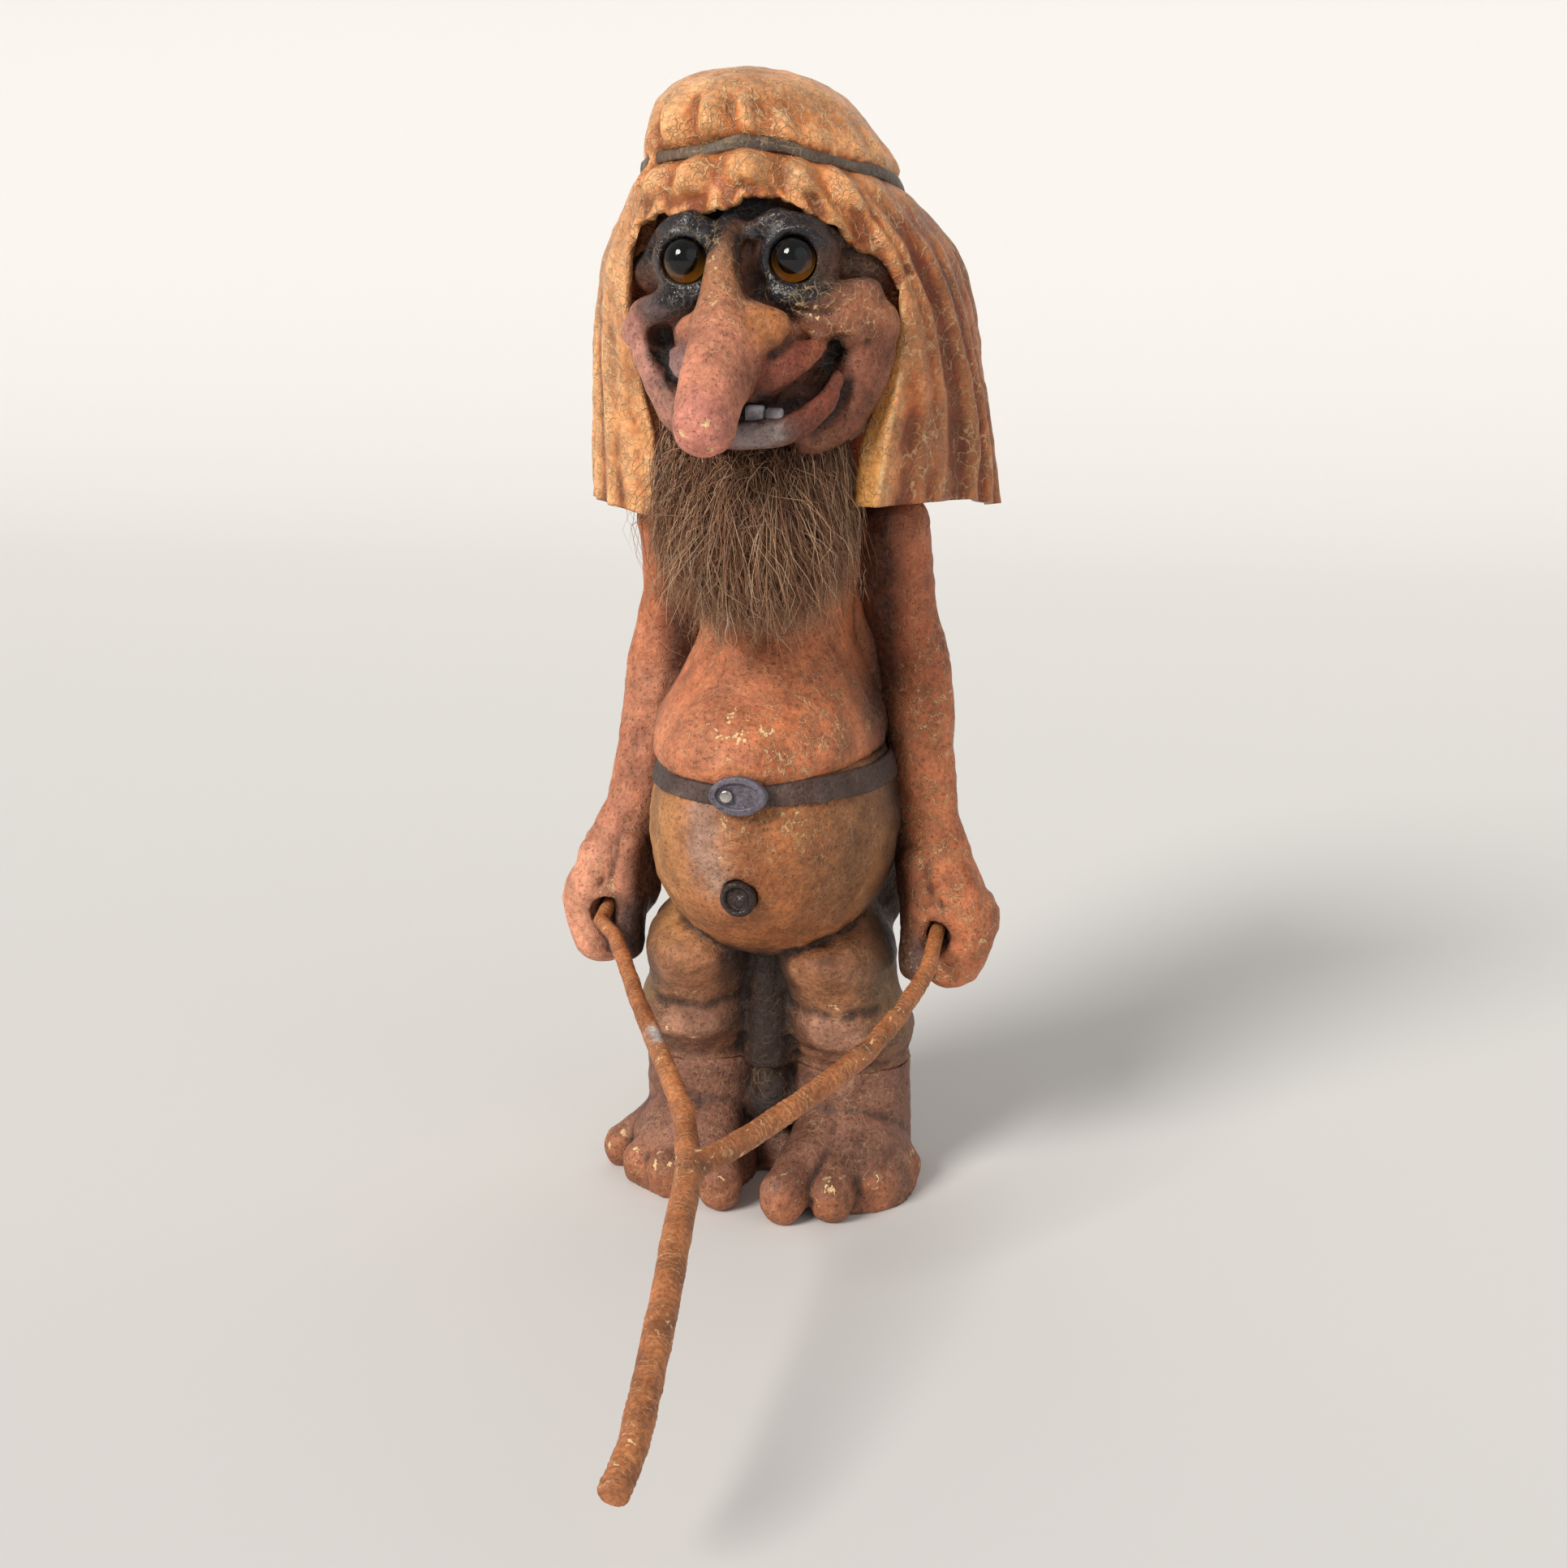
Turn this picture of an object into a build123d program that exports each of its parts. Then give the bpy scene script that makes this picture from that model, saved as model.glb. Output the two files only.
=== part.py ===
from build123d import *
import math
import os

# Standing troll figure with a hood, a fur beard and a forked twig held in both hands.
# Millimetres, +Z up, the figure faces -Y, origin on the floor between the feet.

# Heights of the castings, each measured from the seat below it
ANKLE_HEIGHT = 33.0
LEG_AND_BELLY_HEIGHT = 84.0
CHEST_HEIGHT = 73.0

# Feet
ANKLE_SPREAD = 19.8
ANKLE_BACK = -9.0
ANKLE_WIDTH = 15.8
ANKLE_DEPTH = 14.5
HEEL_LENGTH = 18.0
HEEL_WIDTH = 15.8
HEEL_HEIGHT = 24.0
HEEL_BEHIND = 6.0
INSTEP_HEIGHT = 19.0
INSTEP_RADIUS = 11.0
INSTEP_OUT = 1.6
INSTEP_AHEAD = 8.0
INSTEP_WIDTH = 17.6
INSTEP_LENGTH = 19.0
TOE_SINK = 0.8
# Each toe: outward and forward reach of its ball from the ankle, ball radius
TOES = {
    "left": [(-11.4, -29.0, 6.0), (3.4, -24.4, 5.4), (12.4, -19.4, 5.0), (21.0, -9.6, 4.6)],
    "right": [(-10.8, -32.6, 6.0), (0.8, -29.0, 5.6), (10.4, -18.4, 5.2), (15.4, -5.0, 4.4)],
}
HEEL_WEB_WIDTH = 12.0
HEEL_WEB_DEPTH = 14.0
HEEL_WEB_HEIGHT = 17.0

# Legs: height above the ankle, half width, half depth, centre in front of the ankle, shift inwards
LEG_OVALS = [
    (0.0, 15.8, 14.5, 0.0, 0.0),
    (5.0, 15.6, 14.8, -1.5, 0.0),
    (11.0, 16.6, 17.4, -3.5, 0.0),
    (17.5, 15.4, 16.4, -4.5, 0.8),
    (27.0, 14.6, 20.0, -6.5, 2.2),
    (38.0, 13.6, 18.5, -6.5, 3.2),
    (49.0, 10.5, 14.0, -4.0, 5.0),
]
LEG_WEB_WIDTH = 9.0
LEG_WEB_DEPTH = 16.0

# Belly: depth below the waist, half width, half depth
BELLY_OVALS = [
    (50.0, 13.0, 17.0),
    (45.0, 20.0, 25.0),
    (38.0, 26.0, 33.0),
    (31.0, 29.4, 37.6),
    (23.0, 31.0, 40.0),
    (13.0, 30.6, 39.6),
    (5.0, 28.8, 37.2),
    (0.0, 27.0, 35.2),
]
BELLY_SIDE = 1.6
BELLY_CENTRE = -17.0
# Flat flanks beside the belly: depth below the waist, half width
BELLY_FLANKS = [(50.0, 31.0), (36.0, 32.4), (20.0, 32.2), (7.2, 30.7)]
FLANK_CENTRE = 2.0
FLANK_DEPTH = 12.0

# Chest: height above the waist, half width, half depth, centre behind the belly centre
CHEST_OVALS = [
    (0.0, 27.4, 37.4, 2.2),
    (3.5, 28.4, 39.0, 2.4),
    (9.5, 27.4, 37.6, 3.2),
    (18.0, 23.2, 32.0, 5.2),
    (28.0, 19.0, 26.4, 7.5),
    (40.0, 19.4, 24.0, 10.5),
    (54.0, 22.0, 21.0, 13.5),
    (66.0, 18.0, 17.0, 13.5),
    (73.0, 14.0, 14.0, 12.5),
]
# Flat flanks beside the chest: height above the waist, half width
CHEST_FLANKS = [(0.0, 28.8), (8.0, 28.0), (17.0, 26.0), (26.0, 23.7), (35.0, 21.4), (44.0, 20.0), (50.0, 17.0)]

# Arms: drop below the shoulder, inner side out from the widest body, centre y, radius
SHOULDER_DROP = 18.0
SHOULDER_STUB = 8.4
SHOULDER_RADIUS = 9.2
STUB_RADIUS = 7.0
SEAT_SINK = 2.0
SEAT_MARGIN = 0.5
ARM_RINGS = [
    (11.0, -10.0, 0.0, 8.3),
    (20.0, -8.6, 2.0, 7.9),
    (29.0, -6.3, 3.0, 7.8),
    (38.0, -3.9, 3.0, 7.9),
    (51.0, -1.6, 0.5, 7.2),
    (63.0, 0.8, -3.0, 6.7),
    (75.0, 2.6, -6.5, 6.6),
]
# Hand lumps, each from one ball to another: offsets from the wrist centre, then radius
PALM = [(2.5, -3.0, -10.0, 8.4), (6.0, -4.5, -24.0, 11.0)]
FINGERS = [(8.6, -4.0, -24.0, 9.6), (6.4, -7.0, -33.0, 8.6)]
THUMB = [(-0.5, -5.0, -9.0, 5.6), (-1.6, -12.0, -34.0, 5.0)]

# Twig sockets in the hands
TWIG_DIP = 16.0
SOCKET_IN_HAND = (3.2, -12.0, -25.5)
SOCKET_DEPTH = 11.0
SOCKET_REACH = 20.0
SOCKET_CLEARANCE = 0.35
SOCKET_FLARE = 1.6
SOCKET_FLARE_DEPTH = 2.6

# Forked twig: points from the left socket, from the right socket and along the stem
TWIG_END_RADIUS = 1.95
TWIG_STRAIGHT = 6.0
TWIG_SEAT_GAP = 0.3
LEFT_PRONG = [
    (6.0, -12.0, -3.6, 2.0),
    (19.5, -36.0, -11.5, 2.1),
    (31.0, -54.5, -18.0, 2.3),
    (40.5, -70.0, -23.6, 2.6),
]
RIGHT_PRONG = [
    (0.2, -16.0, -4.8, 2.05),
    (-3.6, -33.0, -10.2, 2.2),
    (-9.5, -48.0, -15.2, 2.45),
    (-20.0, -64.0, -20.8, 2.6),
    (-31.0, -79.0, -25.6, 2.7),
]
FORK = (4.5, -91.0, -27.0, 3.0)
STEM = [
    (2.4, -16.7, -3.9, 3.1),
    (5.5, -37.6, -9.9, 3.05),
    (8.0, -57.1, -15.5, 3.0),
    (9.5, -71.7, -19.7, 2.95),
    (9.2, -81.7, -22.5, 2.9),
]

# Head, measured from the neck seat
HEAD_CENTRE = -12.0
CRANIUM = ((-2.0, 4.0, 42.0), (28.5, 35.5, 43.6))
FACE = ((0.0, -8.0, 23.0), (31.0, 31.0, 23.0))
JAW = ((1.0, -12.0, 9.0), (27.0, 28.0, 11.5))
TEMPLES = ((0.0, -15.0, 42.0), (30.0, 15.0, 9.0))
CHEEK_SIDE = 24.0
CHEEK = ((0.0, -22.0, 28.0), (9.0, 9.5, 9.5))
UPPER_LIP = ((2.0, -33.0, 17.0), (19.0, 13.0, 10.0))
LOWER_LIP = ((2.5, -33.0, 3.5), (18.5, 15.0, 5.0))
MOUTH = ((3.5, -45.0, 8.0), (19.5, 13.0, 3.6))
NOSE = [
    (-1.6, -27.0, 54.0, 3.2),
    (-2.4, -35.0, 46.0, 3.9),
    (-2.0, -41.0, 36.0, 5.6),
    (-0.6, -48.0, 26.0, 7.6),
    (-0.2, -55.5, 16.0, 8.2),
    (-0.6, -61.5, 7.6, 7.0),
]
NOSE_WINGS = [((-8.2, -40.6, 27.4), 4.8), ((8.8, -41.6, 27.2), 6.0)]
NECK_RADIUS = 14.0
NECK_HEIGHT = 14.0

# Eyes
EYE_RADIUS = 5.2
EYE_SIDE = 12.4
EYE_FORWARD = -33.0
EYE_HEIGHT = 43.0
EYE_CLEARANCE = 0.15
LID_RADIUS = 8.0
LID_FORWARD = 6.5
GLASS_DEPTH = 3.6
IRIS_THICKNESS = 0.8
PUPIL_RADIUS = 2.7
PUPIL_THICKNESS = 0.5
EYE_WIRE_RADIUS = 0.6
EYE_WIRE_LENGTH = 9.0

# Teeth in the lower lip
TOOTH_WIDTH = 4.2
TOOTH_DEPTH = 3.0
TOOTH_HEIGHT = 6.5
TOOTH_GAP = 0.4
TEETH_SIDE = 8.2
TEETH_INSET = 4.0
TOOTH_ROUND = 0.7

# Hood: height above its hem, room beyond the cranium sideways and in depth,
# centre from the cranium in x and y, swell of each fold
HEM_BELOW_NECK = 13.0
BAND_ABOVE_NECK = 67.0
HOOD_OVALS = [
    (0.0, 22.0, 1.0, 3.0, 12.0, 1.5),
    (17.0, 20.4, 2.5, 3.0, 10.5, 1.2),
    (34.0, 18.5, 4.0, 2.5, 8.5, 1.0),
    (49.0, 16.4, 5.5, 2.0, 6.0, 1.0),
    (59.0, 13.6, 6.0, 1.5, 4.0, 1.1),
    (66.0, 9.2, 5.0, 1.0, 2.0, 1.3),
    (72.0, 4.6, 3.0, 0.5, 0.0, 1.5),
    (77.0, 0.4, -0.6, 0.0, 0.0, 1.4),
]
HOOD_FOLDS = 20
HOOD_WALL = 2.4
CROWN_ROOM = 1.2
CROWN_LAP = 1.5
CROWN_SEAT_GAP = 0.3
CROWN_SWELL = 1.3
CROWN_TURNS = (0.0, 18.0, 36.0, 52.0, 66.0, 78.0, 86.0)
BAND_HEIGHT = 3.8
BAND_PROUD = 1.2
BAND_SINK = 1.0
BAND_CLEARANCE = 0.15
# Face opening: height above the hem, left edge, right edge
OPENING_EDGES = [(0.0, -25.0, 29.0), (20.0, -29.5, 33.5), (42.0, -33.0, 36.0), (57.0, -31.0, 33.0)]
BROW_RISE = 14.0
OPENING_BACK = -14.0

# Beard: drop below its hide, half width, back in front of the neck seat, front in front of the neck seat
BEARD_OVALS = [
    (0.0, 22.5, 18.0, 49.0),
    (7.0, 26.0, 20.0, 52.0),
    (18.0, 26.5, 24.0, 52.0),
    (30.0, 21.5, 28.5, 50.0),
    (38.0, 14.5, 31.5, 47.0),
    (43.5, 7.0, 33.5, 44.5),
]
BEARD_CENTRE = 2.0
HIDE_THICKNESS = 1.4
HIDE_INSET = 2.0

# Belt, buckle and navel
BELT_DROP = 0.6
BELT_HEIGHT = 6.0
BELT_THICKNESS = 1.0
BELT_CLEARANCE = 0.3
BUCKLE_HALF_WIDTH = 6.8
BUCKLE_HALF_HEIGHT = 4.6
BUCKLE_THICKNESS = 2.4
BUCKLE_RIM = 1.6
BUCKLE_DISH = 1.0
BUCKLE_SIDE = 2.0
BUCKLE_SEAT_GAP = 0.1
STUD_RADIUS = 1.7
STUD_SIDE = -2.6
STUD_HEIGHT = 1.6
STUD_ROUND = 0.85
NAVEL_DROP = 28.5
NAVEL_SIDE = 1.7
NAVEL_RADIUS = 4.1
NAVEL_PROUD = 2.8
NAVEL_RIM = 1.0
NAVEL_ROUND = 0.5
NAVEL_DISH = 1.2
NAVEL_TENON = 3.0

# Dowels and pegs
NECK_DOWEL_RADIUS = 4.0
WAIST_DOWEL_RADIUS = 5.0
LEG_DOWEL_RADIUS = 3.5
SHOULDER_PEG_RADIUS = 3.0
DOWEL_GRIP = 11.0
PEG_GRIP = 7.0
DOWEL_CLEARANCE = 0.1

# Points on each smooth oval, and the turns in degrees of the rings that round off a limb's end
OVAL_POINTS = 12
CAP_TURNS = (32.0, 58.0, 80.0)

WAIST = ANKLE_HEIGHT + LEG_AND_BELLY_HEIGHT
NECK = WAIST + CHEST_HEIGHT
HEM = NECK - HEM_BELOW_NECK
CUT_SIZE = 4 * (NECK + HEM)
SIDES = {"left": -1, "right": 1}


def oval(half_width, half_depth, centre_x, centre_y, height):
    """Level oval face, always drawn from its +X end so that lofts do not twist."""
    points = []
    for i in range(OVAL_POINTS):
        turn = 2 * math.pi * i / OVAL_POINTS
        points.append((centre_x + half_width * math.cos(turn), centre_y + half_depth * math.sin(turn), height))
    return make_face(Spline(*points, periodic=True))


def ellipsoid(centre, half_sizes):
    """Ball stretched to three half sizes."""
    return Pos(*centre) * scale(Sphere(1), by=half_sizes)


def ring(centre, along, radius):
    """Round face across a limb, always drawn from its +X side."""
    across = (Vector(1, 0, 0) - along * along.X).normalized()
    upward = along.cross(across)
    points = []
    for i in range(OVAL_POINTS):
        turn = 2 * math.pi * i / OVAL_POINTS
        points.append(centre + across * (radius * math.cos(turn)) + upward * (radius * math.sin(turn)))
    return make_face(Spline(*points, periodic=True))


def rounded_end(centre, along, radius, way):
    """Rings that close a limb with a round end, ahead of the centre or behind it."""
    faces = []
    for degrees in CAP_TURNS:
        turn = math.radians(degrees)
        faces.append(ring(centre + along * (way * radius * math.sin(turn)), along, radius * math.cos(turn)))
    return faces


def limb(balls, round_start, round_end):
    """Smooth limb through (x, y, z, radius) balls, with flat or round ends."""
    points = [Vector(*ball[:3]) for ball in balls]
    faces = []
    for i, ball in enumerate(balls):
        run = points[min(i + 1, len(points) - 1)] - points[max(i - 1, 0)]
        faces.append(ring(points[i], run.normalized(), ball[3]))
    if round_start:
        ahead = (points[1] - points[0]).normalized()
        faces = list(reversed(rounded_end(points[0], ahead, balls[0][3], -1))) + faces
    if round_end:
        ahead = (points[-1] - points[-2]).normalized()
        faces = faces + rounded_end(points[-1], ahead, balls[-1][3], 1)
    return loft(faces, ruled=True)


def rod(start, end, radius):
    """Plain round rod between two points."""
    a = Vector(*start)
    b = Vector(*end)
    return extrude(Plane(origin=a, z_dir=b - a) * Circle(radius), (b - a).length)


def offset_point(base, step):
    return tuple(b + s for b, s in zip(base, step))


def moved(lump, base):
    """Ellipsoid given as (centre, half sizes), with the centre measured from a base point."""
    return ellipsoid(offset_point(base, lump[0]), lump[1])


def cut_below(solid, height):
    return solid - Pos(0, 0, height - CUT_SIZE / 2) * Box(CUT_SIZE, CUT_SIZE, CUT_SIZE)


def cut_above(solid, height):
    return solid - Pos(0, 0, height + CUT_SIZE / 2) * Box(CUT_SIZE, CUT_SIZE, CUT_SIZE)


# Dowel places
leg_seats = {name: (side * ANKLE_SPREAD, ANKLE_BACK, ANKLE_HEIGHT) for name, side in SIDES.items()}
waist_seat = (0, BELLY_CENTRE + CHEST_OVALS[0][3], WAIST)
neck_seat = (0, BELLY_CENTRE + CHEST_OVALS[-1][3], NECK)


def upright_dowel(seat, radius, grip):
    return rod(offset_point(seat, (0, 0, -grip)), offset_point(seat, (0, 0, grip)), radius)


def upright_hole(seat, radius):
    return upright_dowel(seat, radius + DOWEL_CLEARANCE, DOWEL_GRIP + DOWEL_CLEARANCE)


# Feet, one casting joined at the heels
feet = ellipsoid((0, HEEL_WEB_DEPTH / 2 + ANKLE_BACK, 0), (HEEL_WEB_WIDTH, HEEL_WEB_DEPTH, HEEL_WEB_HEIGHT))
for name, side in SIDES.items():
    ankle = (side * ANKLE_SPREAD, ANKLE_BACK)
    heel = ellipsoid((ankle[0], ankle[1] + HEEL_BEHIND, 0), (HEEL_WIDTH, HEEL_LENGTH, HEEL_HEIGHT))
    column = loft([
        oval(ANKLE_WIDTH, ANKLE_DEPTH, ankle[0], ankle[1], 0),
        oval(ANKLE_WIDTH, ANKLE_DEPTH, ankle[0], ankle[1], ANKLE_HEIGHT),
    ])
    instep = ellipsoid(
        (ankle[0] + side * INSTEP_OUT, ankle[1] - INSTEP_AHEAD, 0), (INSTEP_WIDTH, INSTEP_LENGTH, HEEL_HEIGHT)
    )
    feet += heel + column + instep
    for reach_x, reach_y, radius in TOES[name]:
        root = (ankle[0], ankle[1], INSTEP_HEIGHT, INSTEP_RADIUS)
        ball = (ankle[0] + side * reach_x, ankle[1] + reach_y, radius - TOE_SINK, radius)
        feet += limb([root, ball], False, True)
feet = cut_above(cut_below(feet, 0), ANKLE_HEIGHT)
for seat in leg_seats.values():
    feet -= upright_hole(seat, LEG_DOWEL_RADIUS)


# Belly and legs, one casting
def belly_oval(drop):
    """Half width and half depth of the belly at a depth below the waist."""
    for low, high in zip(BELLY_OVALS, BELLY_OVALS[1:]):
        if high[0] <= drop <= low[0]:
            share = (drop - high[0]) / (low[0] - high[0])
            return (high[1] + share * (low[1] - high[1]), high[2] + share * (low[2] - high[2]))
    return BELLY_OVALS[-1][1:]


lower_body = loft([oval(a, b, BELLY_SIDE, BELLY_CENTRE, WAIST - drop) for drop, a, b in BELLY_OVALS])
lower_body += loft([oval(a, FLANK_DEPTH, 0, FLANK_CENTRE, WAIST - drop) for drop, a in BELLY_FLANKS])
for side in SIDES.values():
    lower_body += loft([
        oval(a, b, side * (ANKLE_SPREAD - inward), ANKLE_BACK + ahead, ANKLE_HEIGHT + rise)
        for rise, a, b, ahead, inward in LEG_OVALS
    ])
lower_body += loft([
    oval(LEG_WEB_WIDTH, LEG_WEB_DEPTH, 0, ANKLE_BACK, ANKLE_HEIGHT),
    oval(LEG_WEB_WIDTH, LEG_WEB_DEPTH, 0, ANKLE_BACK, ANKLE_HEIGHT + LEG_OVALS[-1][0]),
])
for seat in leg_seats.values():
    lower_body -= upright_hole(seat, LEG_DOWEL_RADIUS)
lower_body -= upright_hole(waist_seat, WAIST_DOWEL_RADIUS)

# Navel knob with its tenon let into the belly
navel_front = BELLY_CENTRE - belly_oval(NAVEL_DROP)[1] - NAVEL_PROUD
navel_axis = Plane(origin=(NAVEL_SIDE, navel_front, WAIST - NAVEL_DROP), z_dir=(0, 1, 0))
navel_knob = extrude(navel_axis * Circle(NAVEL_RADIUS), NAVEL_PROUD + NAVEL_TENON)
navel_knob = fillet(navel_knob.edges().group_by(Axis.Y)[0], NAVEL_ROUND)
navel_knob -= extrude(navel_axis * Circle(NAVEL_RADIUS - NAVEL_RIM), NAVEL_DISH)
lower_body -= extrude(navel_axis * Circle(NAVEL_RADIUS), NAVEL_PROUD + NAVEL_TENON)

# Belt strap wrapped on the belly just under the chest roll
belt_levels = [BELT_DROP + BELT_HEIGHT, BELT_DROP]


def belt_oval(drop, out):
    half_width, half_depth = belly_oval(drop)
    return oval(half_width + out, half_depth + out, BELLY_SIDE, BELLY_CENTRE, WAIST - drop)


belt_strap = loft([belt_oval(drop, BELT_CLEARANCE + BELT_THICKNESS) for drop in belt_levels])
belt_strap -= loft([belt_oval(drop, BELT_CLEARANCE) for drop in belt_levels])

# Buckle on the front of the strap
belt_front = belly_oval(belt_levels[0])[1] + BELT_CLEARANCE + BELT_THICKNESS
buckle_back = BELLY_CENTRE - belt_front - BUCKLE_SEAT_GAP
buckle_height = WAIST - sum(belt_levels) / 2
buckle_face = Plane(
    origin=(BUCKLE_SIDE, buckle_back - BUCKLE_THICKNESS, buckle_height), x_dir=(1, 0, 0), z_dir=(0, 1, 0)
)
buckle_plate = extrude(buckle_face * Ellipse(BUCKLE_HALF_WIDTH, BUCKLE_HALF_HEIGHT), BUCKLE_THICKNESS)
buckle_plate -= extrude(
    buckle_face * Ellipse(BUCKLE_HALF_WIDTH - BUCKLE_RIM, BUCKLE_HALF_HEIGHT - BUCKLE_RIM), BUCKLE_DISH
)
stud_seat = buckle_face.offset(BUCKLE_DISH)
buckle_stud = extrude(stud_seat.offset(-STUD_HEIGHT) * Pos(STUD_SIDE, 0) * Circle(STUD_RADIUS), STUD_HEIGHT)
buckle_stud = fillet(buckle_stud.edges().group_by(Axis.Y)[0], STUD_ROUND)

# Chest with the neck stump
chest = loft([oval(a, b, 0, BELLY_CENTRE + back, WAIST + rise) for rise, a, b, back in CHEST_OVALS])
chest += loft([oval(a, FLANK_DEPTH, 0, FLANK_CENTRE, WAIST + rise) for rise, a in CHEST_FLANKS])
chest -= upright_hole(waist_seat, WAIST_DOWEL_RADIUS)
chest -= upright_hole(neck_seat, NECK_DOWEL_RADIUS)

# Arms with their hands
shoulder_height = NECK - SHOULDER_DROP
shoulder_oval = CHEST_OVALS[-3]
shoulder_y = BELLY_CENTRE + shoulder_oval[3]
seat_x = shoulder_oval[1] - SEAT_SINK
shoulder_x = seat_x + SHOULDER_STUB
body_half_width = max(half_width for _, half_width, _ in BELLY_OVALS)


def arm_balls(side):
    """Balls down one arm, from the shoulder to the wrist."""
    balls = [(side * shoulder_x, shoulder_y, shoulder_height, SHOULDER_RADIUS)]
    for drop, out, centre_y, radius in ARM_RINGS:
        balls.append((side * (body_half_width + out + radius), centre_y, shoulder_height - drop, radius))
    return balls


def hand_ball(wrist, ball, side):
    """Ball of a hand lump measured outwards from the wrist."""
    return (wrist[0] + side * ball[0], wrist[1] + ball[1], wrist[2] + ball[2], ball[3])


dip = math.radians(TWIG_DIP)
draw_way = Vector(0, -math.cos(dip), -math.sin(dip))
bore = TWIG_END_RADIUS + SOCKET_CLEARANCE
arms = {}
pegs = {}
sockets = {}
for name, side in SIDES.items():
    balls = arm_balls(side)
    wrist = balls[-1][:3]
    seat = (side * seat_x, shoulder_y, shoulder_height)
    outward = Plane(origin=seat, z_dir=(side, 0, 0))
    palm = [hand_ball(wrist, ball, side) for ball in PALM]
    arm = limb(balls + palm, True, True) + extrude(outward * Circle(STUB_RADIUS), SHOULDER_STUB)
    arm -= extrude(outward * Circle(2 * SHOULDER_RADIUS), -SHOULDER_RADIUS)
    for lump in (FINGERS, THUMB):
        arm += limb([hand_ball(wrist, ball, side) for ball in lump], True, True)
    mouth = Vector(*hand_ball(wrist, SOCKET_IN_HAND + (0,), side)[:3])
    arm -= rod(mouth - draw_way * SOCKET_DEPTH, mouth + draw_way * SOCKET_REACH, bore)
    flare = Plane(origin=mouth - draw_way * SOCKET_FLARE_DEPTH, z_dir=draw_way)
    arm -= loft([flare * Circle(bore), flare.offset(SOCKET_FLARE_DEPTH) * Circle(bore + SOCKET_FLARE)])
    arm -= extrude(flare.offset(SOCKET_FLARE_DEPTH) * Circle(bore + SOCKET_FLARE), SOCKET_REACH)
    peg = extrude(outward.offset(-PEG_GRIP) * Circle(SHOULDER_PEG_RADIUS), 2 * PEG_GRIP)
    peg_hole = extrude(
        outward.offset(-PEG_GRIP - DOWEL_CLEARANCE) * Circle(SHOULDER_PEG_RADIUS + DOWEL_CLEARANCE),
        2 * (PEG_GRIP + DOWEL_CLEARANCE),
    )
    arms[name] = arm - peg_hole
    chest -= extrude(outward * Circle(SHOULDER_RADIUS + SEAT_MARGIN), SHOULDER_STUB)
    chest -= peg_hole
    pegs[name] = peg
    sockets[name] = mouth

# Forked twig from both sockets to the fork and along the stem
bore_end = {name: sockets[name] - draw_way * (SOCKET_DEPTH - TWIG_SEAT_GAP) for name in SIDES}
fork_place = offset_point((0, sockets["left"].Y, sockets["left"].Z), FORK[:3]) + (FORK[3],)


def prong(name, route):
    """Balls of one prong, straight in its bore and then along its route."""
    balls = [
        tuple(bore_end[name]) + (TWIG_END_RADIUS,),
        tuple(sockets[name]) + (TWIG_END_RADIUS,),
        tuple(sockets[name] + draw_way * TWIG_STRAIGHT) + (TWIG_END_RADIUS,),
    ]
    for step in route:
        balls.append(offset_point(tuple(sockets[name]), step[:3]) + (step[3],))
    return balls


stem = [offset_point(fork_place[:3], step[:3]) + (step[3],) for step in STEM]
twig = limb(prong("left", LEFT_PRONG) + [fork_place] + stem, False, False)
inner_end = fork_place[:3] + (RIGHT_PRONG[-1][3],)
twig += limb(prong("right", RIGHT_PRONG) + [inner_end], False, False)

# Head
head_base = (0, HEAD_CENTRE, NECK)
head = moved(CRANIUM, head_base) + moved(FACE, head_base) + moved(JAW, head_base) + moved(TEMPLES, head_base)
for side in SIDES.values():
    head += moved((offset_point(CHEEK[0], (side * CHEEK_SIDE, 0, 0)), CHEEK[1]), head_base)
head += moved(UPPER_LIP, head_base)
head += moved(LOWER_LIP, head_base)
head -= moved(MOUTH, head_base)
nose_balls = [offset_point(head_base, ball[:3]) + (ball[3],) for ball in NOSE]
head += limb(nose_balls, False, True)
for place, radius in NOSE_WINGS:
    head += Pos(*offset_point(head_base, place)) * Sphere(radius)
neck_top = offset_point(neck_seat, (0, 0, NECK_HEIGHT))
head = cut_below(head + rod(neck_seat, neck_top, NECK_RADIUS), NECK)
head -= upright_hole(neck_seat, NECK_DOWEL_RADIUS)

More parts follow.
